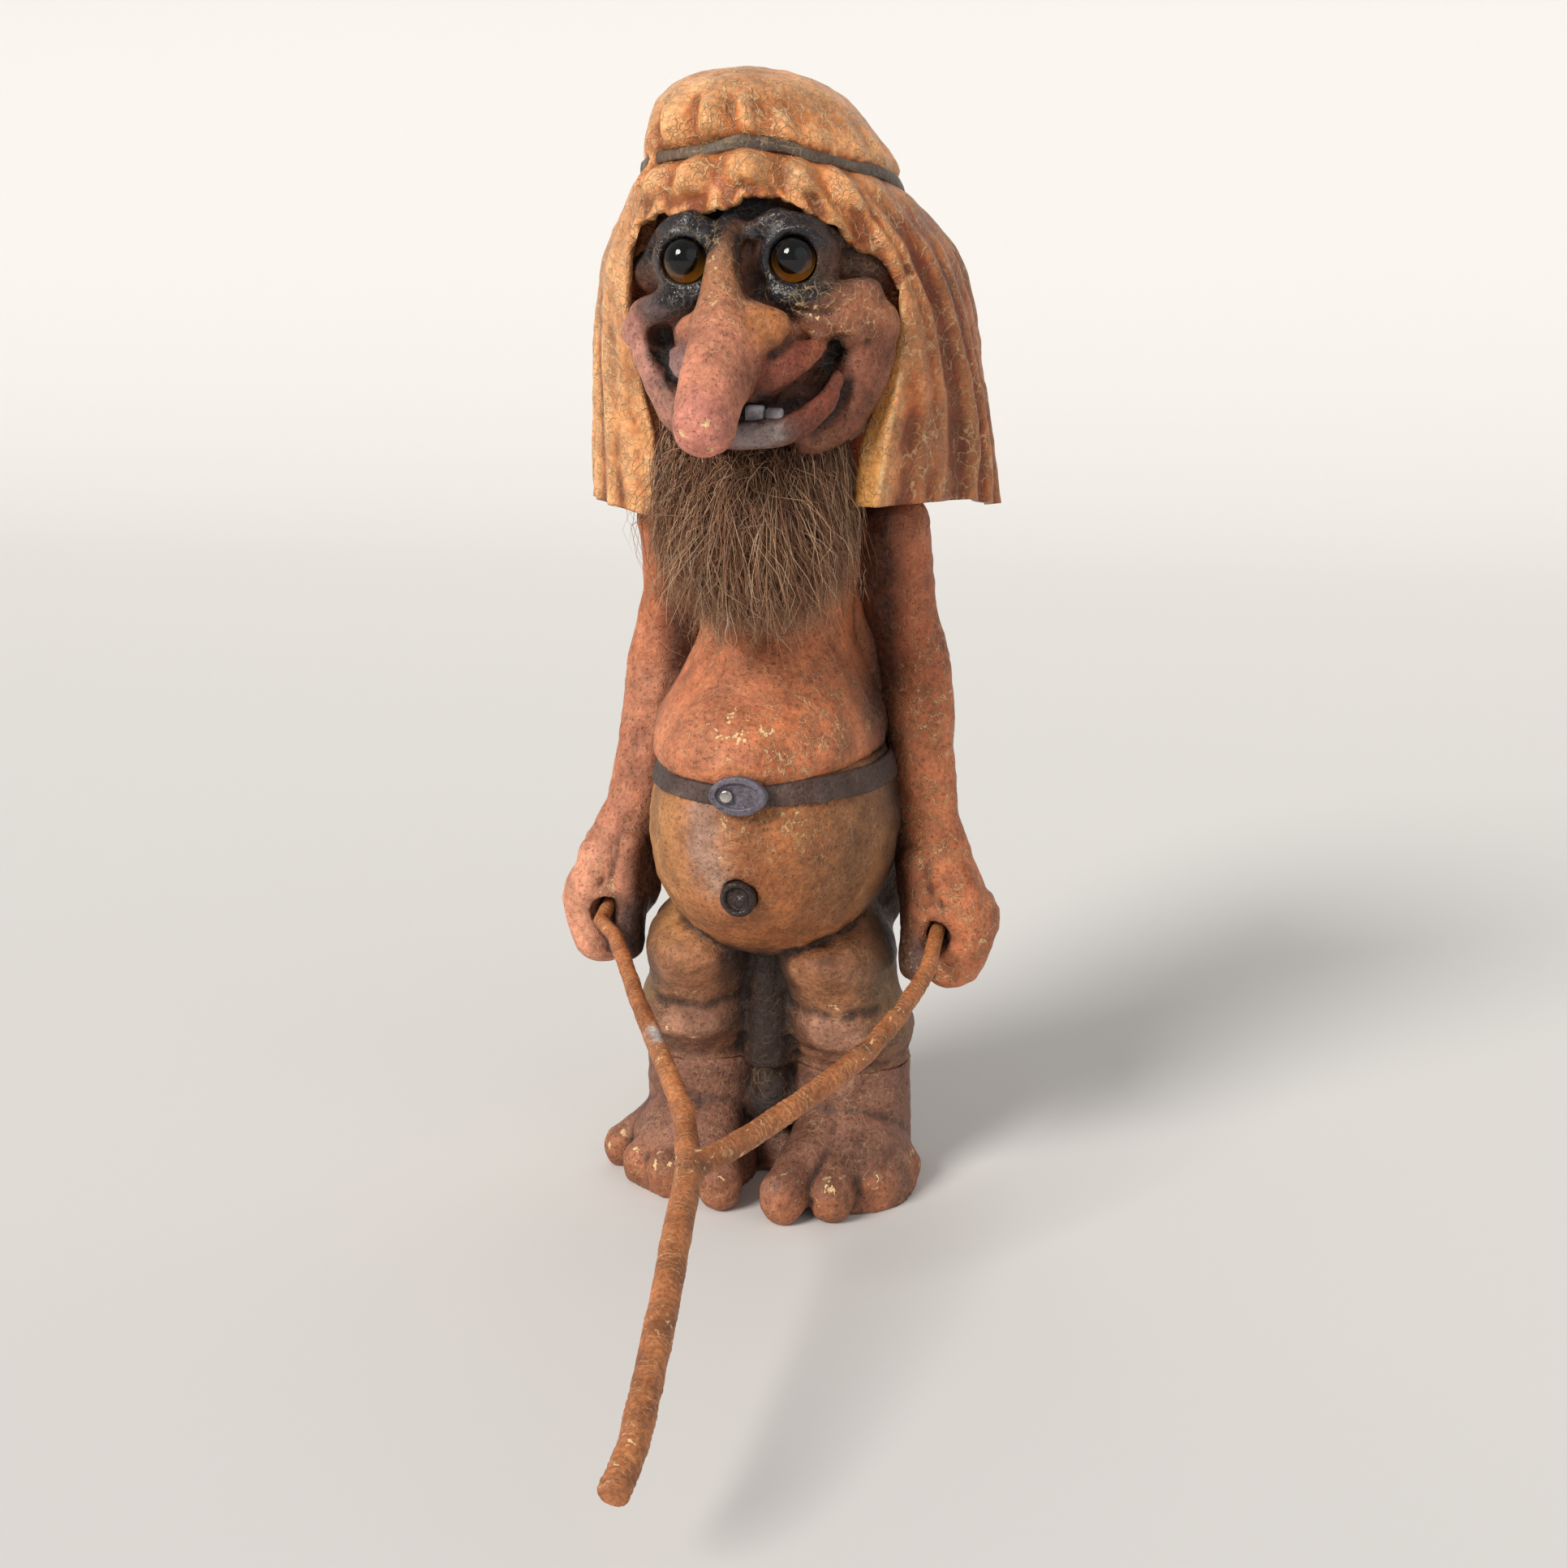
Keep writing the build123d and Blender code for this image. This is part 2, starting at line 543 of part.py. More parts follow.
# Eyes: glass dome, pupil let into its back, amber iris disc, wire shank
eye_nodes = {}
for name, side in SIDES.items():
    centre = offset_point(head_base, (side * EYE_SIDE, EYE_FORWARD, EYE_HEIGHT))
    ball = Pos(*centre) * Sphere(EYE_RADIUS)
    glass_back = centre[1] - EYE_RADIUS + GLASS_DEPTH
    flat = Plane(origin=(centre[0], glass_back, centre[2]), z_dir=(0, 1, 0))
    pupil = extrude(flat.offset(-PUPIL_THICKNESS) * Circle(PUPIL_RADIUS), PUPIL_THICKNESS)
    glass = ball - extrude(flat * Circle(2 * EYE_RADIUS), 2 * EYE_RADIUS) - pupil
    iris_radius = math.sqrt(EYE_RADIUS ** 2 - (EYE_RADIUS - GLASS_DEPTH) ** 2)
    iris = extrude(flat * Circle(iris_radius), IRIS_THICKNESS)
    wire = extrude(flat.offset(IRIS_THICKNESS) * Circle(EYE_WIRE_RADIUS), EYE_WIRE_LENGTH)
    seat = Circle(iris_radius + EYE_CLEARANCE)
    seat_depth = GLASS_DEPTH + LID_RADIUS
    head -= Pos(*offset_point(centre, (0, -LID_FORWARD, 0))) * Sphere(LID_RADIUS)
    head -= extrude(flat.offset(-seat_depth) * seat, seat_depth)
    head -= extrude(flat * seat, IRIS_THICKNESS)
    head -= wire
    eye_nodes[name + "_eye_glass"] = glass
    eye_nodes[name + "_pupil"] = pupil
    eye_nodes[name + "_iris"] = iris
    eye_nodes[name + "_eye_wire"] = wire

# Teeth standing in sockets of the lower lip
lip_front = HEAD_CENTRE + LOWER_LIP[0][1] - LOWER_LIP[1][1]
lip_height = NECK + LOWER_LIP[0][2]
teeth = []
for step in (-1, 1):
    tooth_x = TEETH_SIDE + step * (TOOTH_WIDTH + TOOTH_GAP) / 2
    tooth_place = (tooth_x, lip_front + TEETH_INSET, lip_height + TOOTH_HEIGHT / 2)
    tooth = Pos(*tooth_place) * Box(TOOTH_WIDTH, TOOTH_DEPTH, TOOTH_HEIGHT)
    tooth = fillet(tooth.edges().filter_by(Axis.Z), TOOTH_ROUND)
    teeth.append(tooth)
    head -= tooth
lower_teeth = Compound(children=[Solid(tooth.solid().wrapped) for tooth in teeth])


# Hood of stiffened cloth with folds gathered at the band
cranium_x, cranium_y, cranium_z = offset_point(head_base, CRANIUM[0])
cranium_width, cranium_depth, cranium_height = CRANIUM[1]
band_level = NECK + BAND_ABOVE_NECK
gather_level = HEM + HOOD_OVALS[-1][0]
crown_low = gather_level - CROWN_LAP
crown_share = math.sqrt(1 - ((crown_low - cranium_z) / cranium_height) ** 2)
crown_width = cranium_width * crown_share + CROWN_ROOM
crown_depth = cranium_depth * crown_share + CROWN_ROOM
crown_height = cranium_z + cranium_height + CROWN_SEAT_GAP - band_level


def hood_levels(inset):
    """Sections of the hood from hem to crown: height, half sizes, centre and fold swell."""
    levels = []
    for rise, side_room, depth_room, shift_x, shift_y, swell in HOOD_OVALS:
        half_width = cranium_width + side_room - inset
        half_depth = cranium_depth + depth_room - inset
        levels.append((HEM + rise, half_width, half_depth, cranium_x + shift_x, cranium_y + shift_y, swell))
    wall = HOOD_WALL - inset
    for degrees in CROWN_TURNS:
        up = math.sin(math.radians(degrees))
        out = math.cos(math.radians(degrees))
        height = band_level + (crown_height + wall) * up
        levels.append((
            height, (crown_width + wall) * out, (crown_depth + wall) * out, cranium_x, cranium_y, CROWN_SWELL * out
        ))
    return levels


def folded_oval(level):
    """Section of the hood with one arc to each fold."""
    height, half_width, half_depth, centre_x, centre_y, swell = level
    edges = []
    for i in range(HOOD_FOLDS):
        ends = []
        for step in (0, 0.5, 1):
            turn = 2 * math.pi * (i + step) / HOOD_FOLDS
            out = swell * math.sin(math.pi * step)
            ends.append((
                centre_x + (half_width + out) * math.cos(turn),
                centre_y + (half_depth + out) * math.sin(turn),
                height,
            ))
        edges.append(ThreePointArc(*ends))
    return make_face(edges)


def crown_oval(out, height):
    return oval(crown_width + out, crown_depth + out, cranium_x, cranium_y, height)


hood_outside = loft([folded_oval(level) for level in hood_levels(0)], ruled=True)
hood_inside = loft([oval(a, b, x, y, z) for z, a, b, x, y, _ in hood_levels(HOOD_WALL)], ruled=True)
hood = hood_outside - hood_inside
left_edge = [(left, HEM + rise) for rise, left, _ in OPENING_EDGES]
right_edge = [(right, HEM + rise) for rise, _, right in OPENING_EDGES]
below_hem = HEM - BROW_RISE
brow = ((left_edge[-1][0] + right_edge[-1][0]) / 2, left_edge[-1][1] + BROW_RISE)
front = Plane(origin=(0, OPENING_BACK, 0), x_dir=(1, 0, 0), z_dir=(0, -1, 0))
opening = make_face([
    Line((left_edge[0][0], below_hem), left_edge[0]),
    Spline(*left_edge),
    ThreePointArc(left_edge[-1], brow, right_edge[-1]),
    Spline(*reversed(right_edge)),
    Line(right_edge[0], (right_edge[0][0], below_hem)),
    Line((right_edge[0][0], below_hem), (left_edge[0][0], below_hem)),
])
hood -= extrude(front * opening, 2 * cranium_depth)

# Band round the crown, in a groove of the hood
band_low = band_level - BAND_HEIGHT / 2
band_high = band_level + BAND_HEIGHT / 2
band_inner = HOOD_WALL - BAND_SINK
hood_band = loft([crown_oval(HOOD_WALL + BAND_PROUD, height) for height in (band_low, band_high)])
hood_band -= loft([crown_oval(band_inner, height) for height in (band_low, band_high)])
groove = (band_low - BAND_CLEARANCE, band_high + BAND_CLEARANCE)
groove_ring = loft([crown_oval(2 * HOOD_WALL + BAND_PROUD, height) for height in groove])
groove_ring -= loft([crown_oval(band_inner - BAND_CLEARANCE, height) for height in groove])
hood -= groove_ring

# Beard fur hanging from a strip of hide under the chin
hide_top = NECK
hide_low = NECK - HIDE_THICKNESS


def beard_oval(level, height, inset):
    _, half_width, back, front_reach = level
    middle = neck_seat[1] - (back + front_reach) / 2
    return oval(half_width - inset, (front_reach - back) / 2 - inset, BEARD_CENTRE, middle, height)


beard_hide = loft([beard_oval(BEARD_OVALS[0], height, HIDE_INSET) for height in (hide_low, hide_top)])
beard_fur = loft([beard_oval(level, hide_low - level[0], 0) for level in reversed(BEARD_OVALS)])

nodes = {
    "feet_casting": feet,
    "lower_body": lower_body,
    "chest_casting": chest,
    "left_arm": arms["left"],
    "right_arm": arms["right"],
    "head_casting": head,
    "lower_teeth": lower_teeth,
    "hood_shell": hood,
    "hood_band": hood_band,
    "beard_fur": beard_fur,
    "beard_hide": beard_hide,
    "belt_strap": belt_strap,
    "buckle_plate": buckle_plate,
    "buckle_stud": buckle_stud,
    "navel_knob": navel_knob,
    "forked_twig": twig,
    "neck_dowel": upright_dowel(neck_seat, NECK_DOWEL_RADIUS, DOWEL_GRIP),
    "waist_dowel": upright_dowel(waist_seat, WAIST_DOWEL_RADIUS, DOWEL_GRIP),
}
nodes.update(eye_nodes)
for name in SIDES:
    nodes[name + "_leg_dowel"] = upright_dowel(leg_seats[name], LEG_DOWEL_RADIUS, DOWEL_GRIP)
    nodes[name + "_shoulder_peg"] = pegs[name]

os.makedirs("parts", exist_ok=True)
for name, solid in nodes.items():
    export_step(solid, f"parts/{name}.step")
    print(name, len(solid.solids()), round(solid.volume, 1))
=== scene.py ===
import itertools
import math

import bmesh
import bpy
import numpy as np
from bpy.props import FloatProperty, FloatVectorProperty, IntProperty, PointerProperty
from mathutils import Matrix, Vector


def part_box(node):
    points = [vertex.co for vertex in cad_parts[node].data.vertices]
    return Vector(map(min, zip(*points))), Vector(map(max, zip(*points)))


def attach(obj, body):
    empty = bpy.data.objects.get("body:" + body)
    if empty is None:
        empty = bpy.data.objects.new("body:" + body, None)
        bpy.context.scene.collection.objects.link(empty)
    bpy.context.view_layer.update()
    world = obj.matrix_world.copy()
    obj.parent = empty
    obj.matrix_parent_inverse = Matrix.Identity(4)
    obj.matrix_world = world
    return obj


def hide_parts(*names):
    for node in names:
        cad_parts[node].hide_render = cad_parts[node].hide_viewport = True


bl_info = {
    "name": "Troll figure",
    "version": (1, 0, 0),
    "blender": (4, 5, 0),
    "location": "View3D > Sidebar > Troll",
    "description": "Skins, cloth, fur and paint of a hand-made troll figure with a forked twig",
    "category": "Object",
}

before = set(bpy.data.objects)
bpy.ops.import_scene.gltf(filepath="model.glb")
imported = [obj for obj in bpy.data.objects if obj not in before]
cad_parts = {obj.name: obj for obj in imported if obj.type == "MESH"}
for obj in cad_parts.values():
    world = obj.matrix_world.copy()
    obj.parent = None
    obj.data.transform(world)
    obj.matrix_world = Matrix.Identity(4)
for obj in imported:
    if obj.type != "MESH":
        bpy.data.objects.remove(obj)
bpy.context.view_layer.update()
MM = 0.001
FULL_TURN = 2 * math.pi
# The grime mask holds grime and also painted shade, such as between the legs and beside the arms
MASKS = ("crackle", "chips", "grime_and_shade", "gloss")


def tint(red, green, blue):
    """Paint colour given on the 0 to 255 scale, as the linear light that shaders use."""
    shares = [channel / 255 for channel in (red, green, blue)]
    return tuple(s / 12.92 if s <= 0.04045 else ((s + 0.055) / 1.055) ** 2.4 for s in shares)


def colour(name, description, red, green, blue):
    shade = tint(red, green, blue)
    return FloatVectorProperty(
        name=name, description=description, subtype="COLOR", size=3, min=0.0, max=1.0, default=shade
    )


def length(name, description, millimetres):
    return FloatProperty(
        name=name, description=description, unit="LENGTH", precision=5, default=millimetres * MM
    )


class TrollSizes(bpy.types.PropertyGroup):
    skin_grain: length("Skin grain", "Size of the cells that the cast skins are modelled in", 0.7)
    twig_grain: length("Twig grain", "Size of the cells that the twig is modelled in", 0.5)
    dent: length("Dents", "Height of the uneven hand-pressed surface of the castings", 0.42)
    cloth: length("Cloth thickness", "Thickness of the stiffened hood cloth", 1.7)
    pleat: length("Pleats", "Height of the long pleats of the hood", 2.8)
    pucker: length("Puckers", "Height of the gathers above and below the hood band", 5.2)
    band_height: length("Band height", "Height of the dark band round the hood", 3.2)
    hair_radius: length("Hair radius", "Radius of a beard hair at its root", 0.11)
    hair_length: length("Hair length", "Length of the longest beard hairs", 45.0)
    hairs: IntProperty(
        name="Hairs", description="Hairs in each layer of the beard", default=7000, min=100, max=7100
    )
    crackle: length("Crackle", "Width of one flake of the crackled paint", 2.6)


class TrollColours(bpy.types.PropertyGroup):
    clay: colour("Skin", "Orange-brown skin paint", 204, 122, 80)
    cream: colour("Cream", "Ground that shows in cracks and chips", 246, 205, 150)
    # Dark paint of the grime mask, used for grime and for painted shade
    grime_and_shade: colour("Grime", "Dark wash in the hollows", 44, 31, 26)
    soot: colour("Eye paint", "Blue-black paint round the eyes", 40, 38, 42)
    rose: colour("Nose tip", "Pink of the nose tip", 226, 146, 126)
    lip: colour("Lips", "Red-brown of the lips", 122, 62, 44)
    mauve: colour("Mauve", "Greyish mauve of the left cheek and muzzle", 152, 116, 112)
    ochre: colour("Belly", "Ochre of the belly", 172, 106, 62)
    olive: colour("Olive", "Olive wash of the legs and belly sides", 128, 98, 64)
    umber: colour("Feet", "Purple-brown of the feet", 138, 94, 76)
    hood: colour("Hood", "Orange-tan paint of the hood", 226, 146, 82)
    # Rust colour of the hood, also used as painted shade on its right side and in its folds
    rust_and_shade: colour("Hood shade", "Rust wash in the folds of the hood", 150, 64, 26)
    lining: colour("Hood lining", "Yellow-orange inside of the hood", 222, 156, 84)
    band: colour("Hood band", "Dark grey-brown band", 92, 80, 70)
    strap: colour("Belt", "Blue-grey brown belt", 88, 70, 66)
    fur: colour("Fur", "Brown fur", 166, 118, 88)
    fur_light: colour("Pale fur", "Tan hairs among the brown", 212, 174, 138)
    bark: colour("Bark", "Orange-brown bark of the twig", 184, 116, 70)
    amber: colour("Amber", "Amber of the glass eyes", 192, 132, 40)
    floor: colour("Floor", "Pale studio floor", 226, 224, 220)


def sizes():
    return bpy.context.scene.troll_sizes


def tone_of(paint):
    """Linear colour of a named paint, or of one given on the 0 to 255 scale."""
    if isinstance(paint, str):
        return tuple(getattr(bpy.context.scene.troll_colours, paint))
    return tint(*paint)


# Shares and falloffs


def fade(values, start, end):
    """Straight ramp from 0 at the start to 1 at the end."""
    return np.clip((values - start) / (end - start), 0, 1)


def ease(values, start, end):
    """Ramp from 0 to 1 with soft ends."""
    share = fade(values, start, end)
    return share * share * (3 - 2 * share)


def bell(values, width):
    """1 at nought, falling off on both sides."""
    return np.exp(-((values / width) ** 2))


def table_at(rows, value):
    """Straight lookup in rows of (key, value)."""
    rows = np.array(rows, float)
    return np.interp(value, rows[:, 0], rows[:, 1])


# Modelling helpers. Places are millimetres in the figure's own frame.


def deselect():
    bpy.ops.object.select_all(action="DESELECT")


def pick(*objs):
    deselect()
    for obj in objs:
        obj.select_set(True)
    bpy.context.view_layer.objects.active = objs[0]


def new_object(name, verts, faces):
    """Object from places in millimetres and faces."""
    mesh = bpy.data.meshes.new(name)
    mesh.from_pydata((verts * MM).tolist(), [], faces.tolist())
    mesh.update()
    obj = bpy.data.objects.new(name, mesh)
    bpy.context.scene.collection.objects.link(obj)
    return obj


def quads(ids):
    """Four-cornered faces over a grid of point numbers."""
    return np.stack([ids[:-1, :-1], ids[:-1, 1:], ids[1:, 1:], ids[1:, :-1]], -1).reshape(-1, 4)


def apply_modifier(obj, kind, **settings):
    pick(obj)
    bpy.ops.object.modifier_add(type=kind)
    mod = obj.modifiers[-1]
    for key, value in settings.items():
        setattr(mod, key, value)
    bpy.ops.object.modifier_apply(modifier=mod.name)


def edit_all(obj, **steps):
    """Runs mesh steps, each with its settings, on all of an object in edit mode."""
    pick(obj)
    bpy.ops.object.mode_set(mode="EDIT")
    for step, settings in steps.items():
        bpy.ops.mesh.select_all(action="SELECT")
        getattr(bpy.ops.mesh, step)(**settings)
    bpy.ops.object.mode_set(mode="OBJECT")


def points_of(obj):
    co = np.zeros(len(obj.data.vertices) * 3)
    obj.data.vertices.foreach_get("co", co)
    return co.reshape(-1, 3) / MM


def put_points(obj, places):
    obj.data.vertices.foreach_set("co", (places * MM).ravel())
    obj.data.update()


def normals_of(obj):
    out = np.zeros(len(obj.data.vertices) * 3)
    obj.data.vertex_normals.foreach_get("vector", out)
    return out.reshape(-1, 3)


def push_out(obj, lift):
    """Moves each point along its normal."""
    put_points(obj, points_of(obj) + normals_of(obj) * lift[:, None])


def edges_of(obj):
    ends = np.zeros(len(obj.data.edges) * 2, dtype=np.int64)
    obj.data.edges.foreach_get("vertices", ends)
    return ends.reshape(-1, 2)


def spread(obj, rounds):
    """Places of an object, averaged with their neighbours along the edges."""
    flat = points_of(obj)
    count = len(flat)
    a, b = edges_of(obj).T
    degree = np.maximum(np.bincount(a, minlength=count) + np.bincount(b, minlength=count), 1)
    for _ in range(rounds):
        columns = []
        for column in flat.T:
            total = np.bincount(a, column[b], count) + np.bincount(b, column[a], count)
            columns.append(0.5 * column + 0.5 * total / degree)
        flat = np.stack(columns, 1)
    return flat


GRAIN_SHIFT = np.array([17.31, 5.77, 11.13])
GRAIN_CELLS = np.array([73856093, 19349663, 83492791])
GRAIN_STIR = 1274126177
GRAIN_LEVELS = 65535


def grain(places, size, seed):
    """Smooth random field from -1 to 1 with lumps of the given size."""
    q = places / size + GRAIN_SHIFT * seed
    base = np.floor(q).astype(np.int64)
    f = q - base
    f = f * f * (3 - 2 * f)
    total = np.zeros(len(places))
    for corner in itertools.product((0, 1), repeat=3):
        cell = (base + corner) * GRAIN_CELLS
        key = cell[:, 0] ^ cell[:, 1] ^ cell[:, 2]
        key = (key ^ (key >> 13)) * GRAIN_STIR
        value = 2 * ((key ^ (key >> 16)) & GRAIN_LEVELS) / GRAIN_LEVELS - 1
        total += value * np.where(corner, f, 1 - f).prod(1)
    return total


def from_path(places, path):
    """Distance of each place from a line of points, and how far along it the nearest point is."""
    path = np.array(path, float)
    best = np.linalg.norm(places - path[0], axis=1)
    along = np.zeros(len(places))
    start = 0.0
    for p, q in zip(path[:-1], path[1:]):
        run = q - p
        size = math.sqrt(float(run @ run))
        share = np.clip((places - p) @ run / size**2, 0, 1)
        gap = np.linalg.norm(places - (p + share[:, None] * run), axis=1)
        nearer = gap < best
        best[nearer] = gap[nearer]
        along[nearer] = start + share[nearer] * size
        start += size
    return best, along


def mirrored(path, side):
    """The same points on the viewer's right, or on the left where side is -1."""
    return [(side * point[0], *point[1:]) for point in path]


CHAIN_STEP = 0.3


def chain(stations):
    """Balls close together from one (x, y, z, radius) station to the next."""
    balls = []
    for p, q in zip(stations[:-1], stations[1:]):
        p, q = np.array(p, float), np.array(q, float)
        steps = max(2, int(np.linalg.norm(q[:3] - p[:3]) / (CHAIN_STEP * min(p[3], q[3]))) + 1)
        for k in range(steps):
            x, y, z, r = p + (q - p) * k / steps
            balls.append(((x, y, z), (r, r, r)))
    x, y, z, r = stations[-1]
    return balls + [((x, y, z), (r, r, r))]


def chains(rolls):
    return [ball for roll in rolls for ball in chain(roll)]


def clay(name, lumps):
    """Overlapping balls of clay, each (centre, half sizes), as one object."""
    deselect()
    bpy.ops.mesh.primitive_ico_sphere_add(subdivisions=4, radius=1.0)
    ball = bpy.context.object
    shell = np.array([v.co for v in ball.data.vertices])
    faces = np.array([p.vertices for p in ball.data.polygons])
    bpy.data.objects.remove(ball)
    verts = [shell * half + centre for centre, half in lumps]
    rows = [faces + k * len(shell) for k in range(len(lumps))]
    return new_object(name, np.concatenate(verts), np.concatenate(rows))


def one_skin(obj, cell, relax):
    """Turns overlapping clay into one even skin and softens its joints."""
    apply_modifier(obj, "REMESH", mode="VOXEL", voxel_size=cell, use_smooth_shade=True)
    apply_modifier(obj, "SMOOTH", factor=0.5, iterations=relax)


def cad_skin(name, node, cell, relax, lumps=()):
    """Even skin over a merged copy of a CAD node's mesh, with lumps of clay added first."""
    obj = bpy.data.objects.new(name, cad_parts[node].data.copy())
    bpy.context.scene.collection.objects.link(obj)
    obj.data.materials.clear()
    edit_all(obj, remove_doubles={"threshold": 0.002 * MM})
    if lumps:
        add_clay(obj, lumps)
    one_skin(obj, cell, relax)
    return obj


def add_clay(obj, lumps):
    more = clay(obj.name + "_lumps", lumps)
    pick(obj, more)
    bpy.ops.object.join()


def carve(obj, lumps, cell):
    """Scoops overlapping balls out of a skin."""
    scoop = clay(obj.name + "_scoop", lumps)
    one_skin(scoop, cell, 2)
    apply_modifier(obj, "BOOLEAN", operation="DIFFERENCE", solver="MANIFOLD", object=scoop)
    bpy.data.objects.remove(scoop)


# Dents of a hand-pressed surface: share of the height, size of the lumps
DENTS = [(1.0, 7.0), (0.55, 3.1), (0.35, 1.7)]


def dented(obj, height, seed):
    """Uneven hand-pressed surface."""
    places = points_of(obj)
    lift = sum(share * grain(places, size, seed + k) for k, (share, size) in enumerate(DENTS))
    push_out(obj, lift * height)


def dent_height():
    return sizes().dent / MM


def grooves(obj, rows, side=1):
    """Presses lines, each (path, width, depth), into a skin."""
    for path, width, depth in rows:
        gap, _ = from_path(points_of(obj), mirrored(path, side))
        push_out(obj, -depth * bell(gap, width))


def hollows(obj, rounds):
    """How deep each place lies in a hollow, in millimetres; below zero on ridges."""
    return ((spread(obj, rounds) - points_of(obj)) * normals_of(obj)).sum(1)


class Coat:
    """Paint over one skin: a colour, and masks for crackle, chips, grime with painted shade, and gloss."""

    def __init__(self, obj, base, seed, crackle=0.0, gloss=0.0):
        self.obj = obj
        self.places = points_of(obj)
        wobble = [
            grain(self.places, 4.0, seed + k) + 0.5 * grain(self.places, 1.6, seed + 3 + k) for k in range(3)
        ]
        self.ragged = self.places + 1.3 * np.stack(wobble, 1)
        self.masks = {key: np.zeros(len(self.places)) for key in MASKS}
        self.masks["crackle"] += crackle
        self.masks["gloss"] += gloss
        drift = grain(self.places, 9.0, seed + 9) * 0.5 + grain(self.places, 4.0, seed + 12) * 0.5
        self.colour = np.array(tone_of(base)) * (1 + 0.16 * drift)[:, None]

    def reach(self, path, radius):
        gap, _ = from_path(self.ragged, path)
        return np.clip(1.6 * bell(gap, radius), 0, 1)

    def fill(self, share, paint):
        self.colour += (np.array(tone_of(paint)) - self.colour) * share[:, None]

    def brush(self, path, radius, paint, strength=1.0):
        """Paints along a path, or round a single point."""
        self.fill(self.reach(path, radius) * strength, paint)

    def deepen(self, key, values):
        self.masks[key] = np.maximum(self.masks[key], values)

    def mask(self, key, path, radius, strength):
        self.deepen(key, self.reach(path, radius) * strength)

    def strokes(self, rows, side=1):
        """Brush strokes, each (path, radius, paint) and a strength where it isn't full."""
        for path, *rest in rows:
            self.brush(mirrored(path, side), *rest)

    def wears(self, rows, side=1):
        """Wear and painted shade, each (mask, path, radius, strength)."""
        for key, path, radius, strength in rows:
            self.mask(key, mirrored(path, side), radius, strength)

    def finish(self, rounds=0, depth=1.0, strength=0.0):
        """Keeps the coat on the skin, after darkening it in the hollows by the given strength."""
        if strength:
            self.deepen("grime_and_shade", strength * fade(hollows(self.obj, rounds), 0, depth))
        stack = np.stack([self.masks[key] for key in MASKS], 1)
        keep_colours(self.obj, "paint", np.pad(self.colour, ((0, 0), (0, 1)), constant_values=1.0))
        keep_colours(self.obj, "wear_and_shade", stack)


def keep_colours(obj, name, values):
    layer = obj.data.color_attributes.new(name, "FLOAT_COLOR", "POINT")
    layer.data.foreach_set("color", np.clip(values, 0, 1).ravel())


def keep_numbers(obj, name, values):
    obj.data.attributes.new(name, "FLOAT", "POINT").data.foreach_set("value", values)


def finish_piece(obj, body, slot, materials, *nodes):
    """Gives a piece its materials and its body, and hides the CAD nodes that it stands for."""
    obj.data.materials.clear()
    for material in materials:
        obj.data.materials.append(material)
    pick(obj)
    bpy.ops.object.shade_smooth()
    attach(obj, body)
    if nodes:
        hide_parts(*nodes)
    deselect()


def dress_nodes(material, *nodes):
    """Gives pieces that are shown as they come from CAD their material."""
    for node in nodes:
        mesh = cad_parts[node].data
        mesh.materials.clear()
        mesh.materials.append(material)


# Shader groups and finishes


